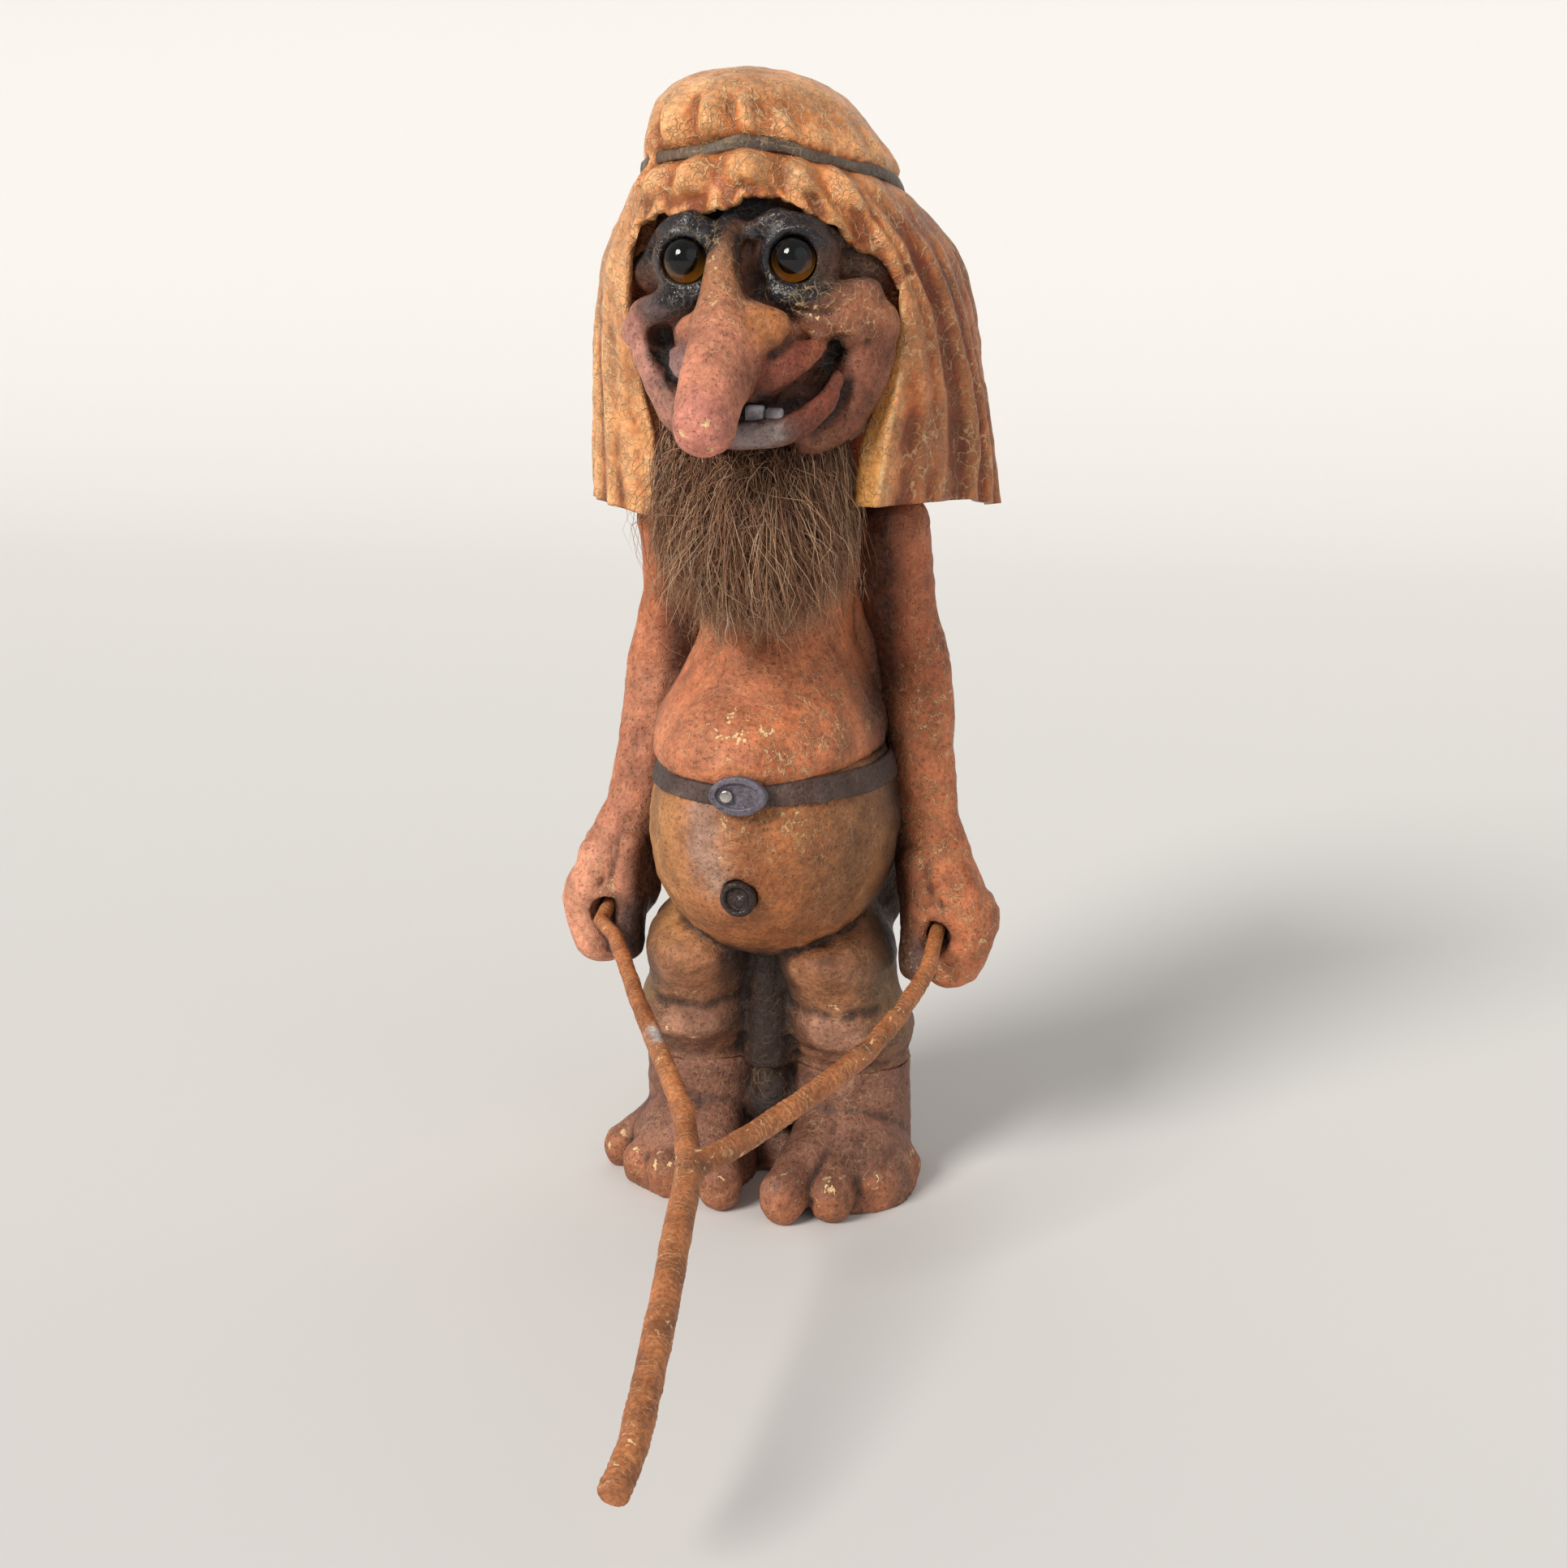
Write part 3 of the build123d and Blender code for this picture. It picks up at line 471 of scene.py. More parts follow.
class Nodes:
    """Places and links shader nodes in one tree."""

    def __init__(self, tree):
        self.tree = tree

    def add(self, kind, **settings):
        node = self.tree.nodes.new(kind)
        for key, value in settings.items():
            setattr(node, key, value)
        return node

    def feed(self, value, socket):
        """Sets a socket to a number or a colour, or links an output to it."""
        if isinstance(value, (int, float)):
            socket.default_value = value
        elif isinstance(value, tuple):
            socket.default_value = (*value, 1.0)
        else:
            self.tree.links.new(value, socket)

    def feed_all(self, node, values):
        for key, value in values.items():
            self.feed(value, node.inputs[key])

    def math(self, operation, a, b=0.0, clamp=False):
        node = self.add("ShaderNodeMath", operation=operation, use_clamp=clamp)
        for value, socket in zip((a, b), node.inputs):
            self.feed(value, socket)
        return node.outputs[0]

    def plus(self, a, b, clamp=False):
        return self.math("ADD", a, b, clamp)

    def minus(self, a, b, clamp=False):
        return self.math("SUBTRACT", a, b, clamp)

    def times(self, a, b, clamp=False):
        return self.math("MULTIPLY", a, b, clamp)

    def over(self, a, b):
        return self.math("DIVIDE", a, b)

    def vectors(self, operation, a, b, target=1):
        node = self.add("ShaderNodeVectorMath", operation=operation)
        self.tree.links.new(a, node.inputs[0])
        self.tree.links.new(b, node.inputs[target])
        return node.outputs[0]

    def noise(self, vector, scale, detail=3.0, roughness=0.55, output="Fac"):
        node = self.add("ShaderNodeTexNoise")
        self.feed_all(node, {"Detail": detail, "Roughness": roughness, "Scale": scale, "Vector": vector})
        return node.outputs[output]

    def ramp(self, value, low, high):
        node = self.add("ShaderNodeMapRange", interpolation_type="SMOOTHSTEP")
        self.feed_all(node, {"From Min": low, "From Max": high, "Value": value})
        return node.outputs["Result"]

    def mix(self, share, a, b, blend="MIX"):
        node = self.add("ShaderNodeMix", data_type="RGBA", blend_type=blend)
        for value, socket in zip((share, a, b), (node.inputs[0], node.inputs[6], node.inputs[7])):
            self.feed(value, socket)
        return node.outputs[2]

    def brushed(self, tone, value, ends, dark, light):
        """Tone made darker and lighter by an uneven value."""
        return self.mix(1.0, tone, self.mix(self.ramp(value, *ends), dark, light), "MULTIPLY")

    def where(self):
        return self.add("ShaderNodeTexCoord").outputs["Object"]

    def split(self, source, kind):
        node = self.add(kind)
        self.tree.links.new(source, node.inputs[0])
        return node.outputs

    def attribute(self, name):
        return self.add("ShaderNodeAttribute", attribute_name=name).outputs

    def group(self, tree, vector, **values):
        node = self.add("ShaderNodeGroup", node_tree=tree)
        self.feed_all(node, {"Vector": vector, **values})
        return node.outputs

    def bump(self, height, strength, distance, shader):
        node = self.add("ShaderNodeBump")
        self.feed_all(node, {"Strength": strength, "Distance": distance, "Height": height})
        self.feed(node.outputs["Normal"], shader["Normal"])


def new_group(name, inputs, outputs):
    """Empty shader group of numbers, read at a vector, with the nodes at its two ends."""
    tree = bpy.data.node_groups.new(name, "ShaderNodeTree")
    tree.interface.new_socket("Vector", in_out="INPUT", socket_type="NodeSocketVector")
    for label, default in inputs.items():
        socket = tree.interface.new_socket(label, in_out="INPUT", socket_type="NodeSocketFloat")
        socket.default_value = default
    for label in outputs:
        tree.interface.new_socket(label, in_out="OUTPUT", socket_type="NodeSocketFloat")
    n = Nodes(tree)
    return tree, n, n.add("NodeGroupInput").outputs, n.add("NodeGroupOutput").inputs


def crackle_group():
    """Cracks between flakes of old paint, broken up in patches."""
    found = bpy.data.node_groups.get("paint_crackle")
    if found:
        return found
    tree, n, given, result = new_group(
        "paint_crackle", {"Scale": 380.0, "Line": 0.07, "Patches": 0.5}, ("Lines", "Chips")
    )
    vector, scale = given["Vector"], given["Scale"]
    shift = n.add("ShaderNodeVectorMath", operation="SUBTRACT")
    n.feed(n.noise(vector, scale, roughness=0.5, output="Color"), shift.inputs[0])
    shift.inputs[1].default_value = (0.5, 0.5, 0.5)
    wander = n.vectors("SCALE", shift.outputs[0], n.over(1.1, scale), "Scale")
    place = n.vectors("ADD", vector, wander)
    cells = n.add("ShaderNodeTexVoronoi", feature="DISTANCE_TO_EDGE")
    n.feed(place, cells.inputs["Vector"])
    n.feed(scale, cells.inputs["Scale"])
    edge = n.minus(1.0, n.over(cells.outputs["Distance"], given["Line"]), clamp=True)
    patch = n.noise(vector, n.times(scale, 0.42), 4.0)
    shown = n.times(n.minus(patch, given["Patches"]), 9.0, clamp=True)
    n.feed(n.times(edge, shown), result["Lines"])
    n.feed(n.ramp(n.noise(place, n.times(scale, 0.95), 4.0, 0.6), 0.60, 0.64), result["Chips"])
    return tree


def mottle_group():
    """Uneven brushed tone at two sizes, and small pits."""
    found = bpy.data.node_groups.get("paint_mottle")
    if found:
        return found
    tree, n, given, result = new_group("paint_mottle", {"Scale": 120.0}, ("Broad", "Fine", "Pits"))
    vector, scale = given["Vector"], given["Scale"]
    n.feed(n.noise(vector, scale, 4.0), result["Broad"])
    n.feed(n.noise(vector, n.times(scale, 7.0), 3.0), result["Fine"])
    n.feed(n.ramp(n.noise(vector, n.times(scale, 10.0), 2.0), 0.60, 0.70), result["Pits"])
    return tree


def new_material(name, settings):
    """Material, its nodes and its shader's inputs, with some of those inputs set."""
    material = bpy.data.materials.new(name)
    material.use_nodes = True
    shader = material.node_tree.nodes["Principled BSDF"].inputs
    for key, value in settings.items():
        shader[key].default_value = value
    return material, Nodes(material.node_tree), shader


def painted(name, flake, line, patches, rough, relief, broad, pitted):
    """Old brushed paint that reads a skin's own coat: tone, cracks, chips, grime with painted shade, and
    gloss.
    """
    material, n, shader = new_material(name, {"Specular IOR Level": 0.4})
    where, wear_and_shade = n.where(), n.attribute("wear_and_shade")
    crackle, chips, grime_and_shade = n.split(wear_and_shade["Color"], "ShaderNodeSeparateColor")
    mottle = n.group(mottle_group(), where, Scale=broad)
    cracks = n.group(crackle_group(), where, Scale=1 / flake, Line=line, Patches=patches)
    fine_cracks = n.group(crackle_group(), where, Scale=2.3 / flake, Line=line, Patches=patches + 0.04)
    paint = n.attribute("paint")["Color"]
    tone = n.brushed(paint, mottle["Broad"], (0.30, 0.72), (0.66, 0.62, 0.60), (1.22, 1.2, 1.18))
    tone = n.brushed(tone, mottle["Fine"], (0.34, 0.66), (0.8, 0.79, 0.78), (1.13, 1.12, 1.1))
    tone = n.mix(n.times(mottle["Pits"], pitted), tone, tone_of("grime_and_shade"))
    lines = n.math("MAXIMUM", cracks["Lines"], n.times(fine_cracks["Lines"], 0.7))
    lines = n.times(lines, crackle)
    tone = n.mix(n.times(lines, 0.85), tone, tone_of("cream"))
    chipped = n.times(cracks["Chips"], n.times(chips, 1.5), clamp=True)
    tone = n.mix(chipped, tone, tone_of("cream"))
    uneven = n.minus(mottle["Fine"], 0.5)
    # Darkens by the grime mask, which holds grime and painted shade
    darkening = n.plus(n.times(uneven, 0.9), grime_and_shade)
    darkening = n.times(darkening, n.ramp(grime_and_shade, 0.02, 0.3), clamp=True)
    n.feed(n.mix(darkening, tone, tone_of("grime_and_shade")), shader["Base Color"])
    dull = n.minus(rough, n.times(wear_and_shade["Alpha"], 0.34))
    n.feed(n.plus(dull, n.times(uneven, 0.3), clamp=True), shader["Roughness"])
    height = n.plus(n.times(mottle["Fine"], 0.6), n.times(lines, 0.5))
    height = n.minus(height, n.times(chipped, 0.3))
    height = n.plus(height, n.times(mottle["Broad"], 1.4))
    height = n.minus(height, n.times(mottle["Pits"], 2.0 * pitted))
    n.bump(height, relief, 0.0008, shader)
    return material


def skin_paint():
    flake = sizes().crackle
    return bpy.data.materials.get("skin_paint") or painted(
        "skin_paint", flake, line=0.065, patches=0.45, rough=0.56, relief=0.85, broad=110.0, pitted=0.2
    )


def hood_paint():
    flake = sizes().crackle * 1.35
    return bpy.data.materials.get("hood_paint") or painted(
        "hood_paint", flake, line=0.075, patches=0.42, rough=0.5, relief=1.0, broad=90.0, pitted=0.0
    )


def tinted(name, tone, dark, scale, rough, metallic=0.0, relief=0.3, coat=0.0):
    """Plain finish with an uneven tone, for small fittings and hidden pieces."""
    material, n, shader = new_material(name, {"Metallic": metallic, "Coat Weight": coat})
    mottle = n.group(mottle_group(), n.where(), Scale=scale)
    n.feed(n.mix(n.ramp(mottle["Broad"], 0.35, 0.65), tone_of(dark), tone_of(tone)), shader["Base Color"])
    n.feed(n.plus(n.times(mottle["Fine"], 0.3), rough - 0.15), shader["Roughness"])
    n.bump(mottle["Fine"], relief, 0.0003, shader)
    return material


def hair_finish(name, rough):
    material, n, shader = new_material(name, {"Roughness": rough, "Specular IOR Level": 0.3})
    n.feed(n.attribute("paint")["Color"], shader["Base Color"])
    return material


def eye_glass_finish():
    clear = {"Base Color": (1.0, 0.98, 0.94, 1.0), "Roughness": 0.0, "IOR": 1.5, "Transmission Weight": 1.0}
    return new_material("clear_glass", clear)[0]


def iris_finish():
    """Amber back of the eye with fine flecks, painted shade towards the top and a painted glow towards the
    bottom.
    """
    material, n, shader = new_material("amber_back", {"Roughness": 0.35, "Emission Strength": 0.14})
    where = n.where()
    low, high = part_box("left_iris")
    level = n.minus(n.split(where, "ShaderNodeSeparateXYZ")["Z"], (low.z + high.z) / 2)
    # Painted shade from the lids at the top, painted light gathered by the glass at the bottom
    glow = n.ramp(n.over(level, (high.z - low.z) / 2), 0.45, -0.95)
    flecks = n.ramp(n.noise(where, 900.0, 4.0, 0.7), 0.45, 0.7)
    tone = n.mix(glow, tint(84, 56, 22), tone_of("amber"))
    n.feed(n.mix(n.times(flecks, 0.6), tone, tint(84, 50, 18)), shader["Base Color"])
    # The emission is a painted glow; the eye is no lamp
    n.feed(n.mix(glow, (0.0, 0.0, 0.0), tone_of("amber")), shader["Emission Color"])
    return material


def pupil_finish():
    """Black pupil that fades into the amber at its rim."""
    material, n, shader = new_material("pupil_black", {"Roughness": 0.3})
    place = n.split(n.where(), "ShaderNodeSeparateXYZ")
    low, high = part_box("right_pupil")
    across = n.minus(n.math("ABSOLUTE", place["X"]), (low.x + high.x) / 2)
    up = n.minus(place["Z"], (low.z + high.z) / 2)
    off = n.math("SQRT", n.plus(n.times(across, across), n.times(up, up)))
    rim = n.ramp(n.over(off, (high.z - low.z) / 2), 0.6, 0.95)
    n.feed(n.mix(rim, (0.004, 0.004, 0.005), tint(128, 88, 32)), shader["Base Color"])
    return material


def bark_finish():
    """Bark that reads the twig's own coat, with pale rings across its run."""
    material, n, shader = new_material("bark_paint", {})
    where, wear_and_shade = n.where(), n.attribute("wear_and_shade")
    _, chips, grime_and_shade = n.split(wear_and_shade["Color"], "ShaderNodeSeparateColor")
    mottle = n.group(mottle_group(), where, Scale=160.0)
    cracks = n.group(crackle_group(), where, Scale=520.0, Line=0.08, Patches=0.5)
    jitter = n.times(n.minus(n.noise(where, 420.0), 0.5), 3.4)
    wave = n.math("SINE", n.times(n.plus(n.attribute("along")["Fac"], jitter), 5.2))
    ring = n.times(n.ramp(wave, 0.72, 0.98), n.ramp(n.noise(where, 260.0), 0.44, 0.62))
    paint = n.attribute("paint")["Color"]
    tone = n.brushed(paint, mottle["Broad"], (0.3, 0.7), (0.62, 0.58, 0.54), (1.2, 1.18, 1.14))
    tone = n.brushed(tone, mottle["Fine"], (0.36, 0.64), (0.72, 0.70, 0.68), (1.14, 1.13, 1.1))
    tone = n.mix(n.times(ring, 0.62), tone, tint(226, 182, 132))
    chipped = n.times(cracks["Chips"], n.times(chips, 1.5), clamp=True)
    tone = n.mix(chipped, tone, tone_of("cream"))
    darkening = n.times(grime_and_shade, n.ramp(mottle["Fine"], 0.4, 0.6))
    n.feed(n.mix(darkening, tone, tone_of("grime_and_shade")), shader["Base Color"])
    n.feed(n.minus(0.6, n.times(wear_and_shade["Alpha"], 0.3)), shader["Roughness"])
    n.bump(n.plus(n.times(ring, 0.6), mottle["Fine"]), 0.7, 0.0004, shader)
    return material


# Pieces


# Lumps of the head: centre, half sizes
HEAD_FORM = [
    ((-2, -8, 232), (27.6, 34.6, 42.6)),
    ((1.5, -19, 214), (28.5, 29.5, 23)),
    ((3.5, -22.5, 200), (22.5, 26.5, 12)),
    ((0.5, -25.5, 231.5), (32.6, 13.6, 9.4)),
    ((0, -28, 241), (24, 12.5, 7)),
    ((12.4, -39.6, 233), (9.6, 9.6, 9.4)),
    ((-12.4, -39.6, 233), (9.4, 9.6, 9.2)),
]
# Stations of rolls and scoops: x, y, z, radius
NECK_FORM = [(0, -4.5, 192, 13.8), (0, -5, 204, 14)]
FACE_ROLLS = [
    [(3.2, -43.5, 239.2, 2.4), (8.5, -44.4, 241.8, 2.4), (14.5, -42.2, 240.4, 2.2), (20, -38.4, 238.2, 1.7),
     (25, -33, 236, 1.2)],
    [(-7, -43.5, 239.2, 2.2), (-11.5, -44.8, 241.6, 2.4), (-17, -42.2, 240.6, 2.2), (-21.5, -37, 238, 1.6),
     (-25.6, -31.5, 235, 1.2)],
    [(8.6, -45.6, 225.6, 3.0), (14, -46, 224.2, 3.7), (20.5, -43.6, 223.8, 4.1), (27, -37.6, 225.4, 4.2)],
    [(17.5, -44.4, 219.8, 4.2), (23, -41, 219.4, 6.2), (27.4, -35.4, 218.6, 7.4)],
    [(-9.5, -45.2, 225.6, 2.8), (-14, -44.6, 224, 3.3), (-19.6, -41.6, 223, 3.6), (-24.5, -37, 221.4, 4.0)],
    [(-22.6, -38.6, 219.4, 4.0), (-26.4, -34.6, 217.6, 4.8)],
    [(27.2, -36, 213, 6.8), (25.4, -38, 206, 6.4), (22.4, -41.6, 199.6, 5.8), (16, -46, 194.6, 5.2)],
    [(-23.6, -36, 212.6, 4.6), (-20, -39.6, 206, 4.2), (-16, -43, 200, 4.2), (-10, -47.4, 195.4, 4.4)],
    [(5, -52.6, 208, 7.0), (10, -53, 208.4, 6.4), (14.6, -51.6, 210.4, 4.8), (18.8, -48.8, 213.4, 3.1)],
    [(-5, -51.8, 208.4, 6.6), (-9.6, -50.4, 209.2, 5.2), (-13, -47.6, 211.2, 3.6)],
    [(-13, -50.4, 200.4, 2.3), (-8, -54.0, 196.8, 2.9), (-1, -56.8, 195.4, 3.3), (5, -57.2, 195.2, 3.4)],
    [(5, -57.2, 195.2, 3.4), (11, -56.4, 195.8, 3.4), (16.6, -53.4, 198.2, 3.3), (20.6, -49.6, 202.2, 3.0),
     (22.6, -46.4, 207.4, 2.2)],
]
NOSE_FORM = [
    [(-2.0, -40, 243.0, 3.0), (-2.8, -46.2, 236.6, 3.4), (-3.0, -50, 230, 4.2), (-1.8, -53.5, 222, 6.0)],
    [(-1.8, -53.5, 222, 6.0), (-0.8, -58.6, 215, 7.4), (-0.6, -64.4, 208, 7.8), (-0.8, -70, 202, 7.3),
     (-0.8, -73.6, 197.8, 6.9)],
    [(1, -52, 219, 6.2), (5.2, -54, 217.6, 6.2), (8.8, -53.6, 217.0, 5.7)],
    [(8, -55, 215.6, 4.6), (5, -59, 211.4, 5.0), (2, -64, 206, 5.4)],
    [(-3, -52, 218.4, 5.4), (-6.4, -52.8, 217.6, 5.0), (-8.8, -52.6, 217.2, 4.4)],
]
MOUTH_SCOOPS = [
    [(2, -60.4, 200.6, 2.8), (8, -60.0, 200.8, 3.0), (13, -57.4, 202.2, 3.1), (17.2, -53.6, 205.4, 3.1),
     (20.2, -50, 209.6, 2.8), (22, -46.4, 214.6, 2.2)],
    [(2, -53, 200.6, 3.6), (10, -52, 201.2, 3.8), (15.6, -48.6, 204.4, 3.6), (19.2, -45, 209.6, 3.0),
     (21.2, -42, 214.4, 2.3)],
    [(2, -60.4, 200.6, 2.8), (-5, -58.4, 201.2, 2.7), (-10.6, -54.6, 203.6, 2.7), (-15.4, -50, 207.8, 2.8),
     (-18.8, -46, 212.4, 2.9), (-20.2, -43, 216.2, 3.2)],
    [(2, -53, 200.6, 3.6), (-8.6, -50.6, 202.4, 3.4), (-15, -46, 207, 3.2), (-19, -42, 212.6, 3.2),
     (-20, -39.4, 216.2, 3.5)],
]
# Creases and grooves: path, width, depth
FACE_CREASES = [
    ([(13, -49, 221.8), (20, -47.5, 221.4), (27, -42.5, 222.2), (32, -34, 224)], 0.9, 1.0),
    ([(8, -49.5, 229), (14, -50, 228.4), (20, -47, 228.8), (27, -41, 230)], 0.8, 0.8),
    ([(17, -48.6, 226.8), (23, -44.6, 226.4), (29, -40, 227.6)], 0.6, 0.6),
    ([(24, -46.6, 215), (25.4, -45, 206.5), (22.6, -48.8, 199), (17, -53, 193)], 1.5, 1.8),
    ([(28.6, -42.6, 215.4), (30.4, -38.4, 213.8), (32, -34, 213.4)], 0.8, 0.8),
    ([(-22.2, -43.6, 213.6), (-19.4, -45.0, 206), (-14.4, -49.6, 199.4)], 1.1, 1.1),
    ([(-9, -49, 228.6), (-15, -49.4, 227.8), (-22, -44.6, 227.4)], 0.8, 0.8),
    ([(-12, -49.4, 221.6), (-18, -47, 220.4), (-22, -44, 220)], 0.8, 0.8),
    ([(3.6, -59, 212.6), (8.6, -59.6, 211.6), (13, -57.4, 213.8), (15.4, -53, 218)], 1.1, 1.2),
    ([(-5, -58.6, 212.8), (-10, -57, 212.4), (-13.4, -53.6, 216.6)], 1.0, 1.0),
    ([(-6.2, -49.5, 234), (-6.4, -51.5, 228), (-8, -53, 222.6)], 0.9, 0.7),
    ([(1.0, -49.5, 235), (1.4, -52, 228), (4.4, -54, 223)], 0.9, 0.7),
]
# Strokes: path, radius, paint, and a strength where it isn't full
FACE_STROKES = [
    ([(-3, -44, 240), (-3, -52, 226), (-2, -57, 217)], 5.4, (194, 130, 84)),
    ([(-1, -62, 213), (-1, -72, 205)], 9.0, (212, 138, 108)),
    ([(-1, -78, 198), (-1, -80, 193)], 6.6, "rose"),
    ([(9.5, -57, 217.5)], 6.0, (180, 114, 64)),
    ([(-9.8, -56, 217.5)], 4.6, (186, 116, 84)),
    ([(14, -48, 221), (22, -46, 221), (29, -38, 221)], 6.0, (172, 108, 76)),
    ([(28, -40, 212), (26, -43, 205), (21, -47, 198)], 6.0, (138, 82, 60)),
    ([(-28, -38, 219), (-25, -40, 212), (-18, -46, 202)], 5.0, (194, 136, 120)),
    ([(-10, -56, 209), (-15, -53, 211)], 5.5, "mauve"),
    ([(-14, -48, 224), (-20, -45, 223)], 4.5, (118, 96, 94)),
    ([(6, -60, 208), (13, -57, 209), (18.6, -52, 213)], 5.2, "lip"),
    ([(17.2, -54, 211.6), (19.6, -51, 213.8)], 2.4, (160, 86, 56), 0.7),
    ([(12, -60, 196.5), (18.6, -55.4, 199.6), (22.4, -49.6, 205)], 3.6, "lip"),
    ([(-5, -61, 195), (10, -61, 195)], 4.0, (176, 160, 158)),
]
BROW_STROKES = [
    ([(-27, -33, 236), (-14, -44, 243), (0, -44, 245), (12, -45, 246), (26, -36, 239)], 5.6, "soot"),
    ([(20, -42, 231), (29, -34, 231)], 4.6, (92, 60, 44)),
    ([(-20, -42, 231), (-28, -34, 229)], 4.2, (84, 58, 46)),
    ([(3.5, -48, 236), (4.5, -48, 228)], 3.4, "soot"),
    # Painted highlights: grey-blue sheen on the glossy black brow, where its paint is also worn
    ([(7.5, -48.8, 239.6), (3.6, -46.5, 236.5)], 1.5, (108, 112, 124), 0.8),
    ([(-8.0, -48, 238.4), (-15, -47.5, 239.5)], 1.2, (96, 94, 98), 0.6),
]
# Wear: mask, path, radius, strength
FACE_WEAR = [
    ("crackle", [(-2, -50, 236), (0, -58, 220), (0, -66, 212)], 7, 0.5),
    ("crackle", [(16, -48, 221), (28, -40, 221)], 6, 0.8),
    ("chips", [(-1.4, -80, 194.6), (-0.4, -81, 197)], 3.0, 1.0),
    ("chips", [(-3, -52, 232), (-2, -58, 222)], 3.0, 0.5),
    ("chips", [(17, -49, 220), (24, -46, 220)], 2.6, 0.7),
]
EYES = [(-12.4, -45.0, 233.0), (12.4, -45.0, 233.0)]
# Radius of an eye's socket at its back and at its front
EYE_SOCKET = (5.3, 6.4)
EYE_SOCKET_DEPTH = 9.0
LID_RING = 6.45
LID_ROLL = 1.2
LID_BALLS = 40
EYE_PAINT_RING = 7.0
EYE_PAINT_FRONT = -47.5
# Teeth: middle, width and height of the top
TEETH = [(6.1, 4.3, 201.8), (10.5, 4.1, 201.2)]


def lid_balls(eye_x, eye_y, eye_z):
    """Roll of clay round an eye, deeper at the outer corner."""
    balls = []
    for k in range(LID_BALLS):
        turn = FULL_TURN * k / LID_BALLS
        outer = 1 if math.cos(turn) * eye_x > 0 else 0.2
        x = eye_x + LID_RING * math.cos(turn)
        y = eye_y - 1.3 + 1.3 * abs(math.cos(turn)) * outer
        z = eye_z + LID_RING * 0.97 * math.sin(turn)
        r = LID_ROLL * (1 + 0.25 * max(math.sin(turn), 0) + 0.14 * math.sin(3 * turn + eye_x))
        balls.append(((x, y, z), (r, r, r)))
    return balls


class TROLL_OT_head(bpy.types.Operator):
    """Head with long nose, brows, lids, cheeks, lips and mouth"""

    bl_idname = "troll.head"
    bl_label = "Head"

    def execute(self, context):
        cell = sizes().skin_grain
        head = clay("head_skin", HEAD_FORM + chain(NECK_FORM) + chains(FACE_ROLLS + NOSE_FORM))
        one_skin(head, cell, 3)
        scoops = chains(MOUTH_SCOOPS)
        back, front = EYE_SOCKET
        for x, y, z in EYES:
            scoops += chain([(x, y, z, back), (x, y - EYE_SOCKET_DEPTH, z, front)])
        carve(head, scoops, cell)
        for centre in EYES:
            add_clay(head, lid_balls(*centre))
        one_skin(head, cell, 4)
        dented(head, dent_height() * 0.7, 3)
        grooves(head, FACE_CREASES)
        places = points_of(head)
        places[:, 2] = np.maximum(places[:, 2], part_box("head_casting")[0].z / MM)
        put_points(head, places)
        apply_modifier(head, "SMOOTH", factor=0.5, iterations=1)
        self.paint(head)
        finish_piece(head, "figure", "painted_skin", [skin_paint()], "head_casting")
        return {"FINISHED"}

    @staticmethod
    def paint(head):
        coat = Coat(head, (150, 98, 76), 21, crackle=0.16)
        coat.strokes(FACE_STROKES)
        turns = np.linspace(0, FULL_TURN, 25)
        for x, _, z in EYES:
            ring_x, ring_z = x + EYE_PAINT_RING * np.cos(turns), z + EYE_PAINT_RING * np.sin(turns)
            ring = np.stack([ring_x, np.full_like(turns, EYE_PAINT_FRONT), ring_z], 1)
            coat.brush(ring, 5.2, "soot")
            coat.mask("gloss", ring, 5.0, 1.0)
        coat.strokes(BROW_STROKES)
        for scoop in MOUTH_SCOOPS:
            coat.brush([(x, y + 2.5, z) for x, y, z, _ in scoop], 2.6, (26, 18, 16))
        coat.wears(FACE_WEAR)
        coat.finish(26, 0.9, 0.9)


class TROLL_OT_teeth(bpy.types.Operator):
    """Two worn teeth in the lower lip"""

    bl_idname = "troll.teeth"
    bl_label = "Teeth"

    def execute(self, context):
        low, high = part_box("lower_teeth")
        middle = (low.y + high.y) / 2
        pair = []
        for x, width, top in TEETH:
            deselect()
            bpy.ops.mesh.primitive_cube_add(size=1.0, location=(x * MM, middle, (low.z + top * MM) / 2))
            tooth = bpy.context.object
            tooth.scale = (width * MM, (high.y - low.y) * 0.9, top * MM - low.z)
            bpy.ops.object.transform_apply(location=True, rotation=False, scale=True)
            apply_modifier(tooth, "BEVEL", width=0.9 * MM, segments=4)
            apply_modifier(tooth, "SUBSURF", levels=1, render_levels=1)
            pair.append(tooth)
        pick(*pair)
        bpy.ops.object.join()
        teeth = pair[0]
        teeth.name = "worn_teeth"
        dented(teeth, 0.12, 5)
        bpy.ops.object.transform_apply(location=True, rotation=True, scale=True)
        finish = tinted("tooth_enamel", (190, 186, 190), (120, 112, 116), 260.0, 0.4, coat=0.2)
        finish_piece(teeth, "figure", "tooth", [finish], "lower_teeth")
        return {"FINISHED"}


class TROLL_OT_eyes(bpy.types.Operator):
    """Glass eyes with amber backs and black pupils"""

    bl_idname = "troll.eyes"
    bl_label = "Eyes"

    def execute(self, context):
        wire = tinted("shank_wire", (120, 116, 110), (80, 76, 72), 300.0, 0.45, metallic=1.0)
        dress_nodes(eye_glass_finish(), "left_eye_glass", "right_eye_glass")
        dress_nodes(iris_finish(), "left_iris", "right_iris")
        dress_nodes(pupil_finish(), "left_pupil", "right_pupil")
        dress_nodes(wire, "left_eye_wire", "right_eye_wire")
        return {"FINISHED"}


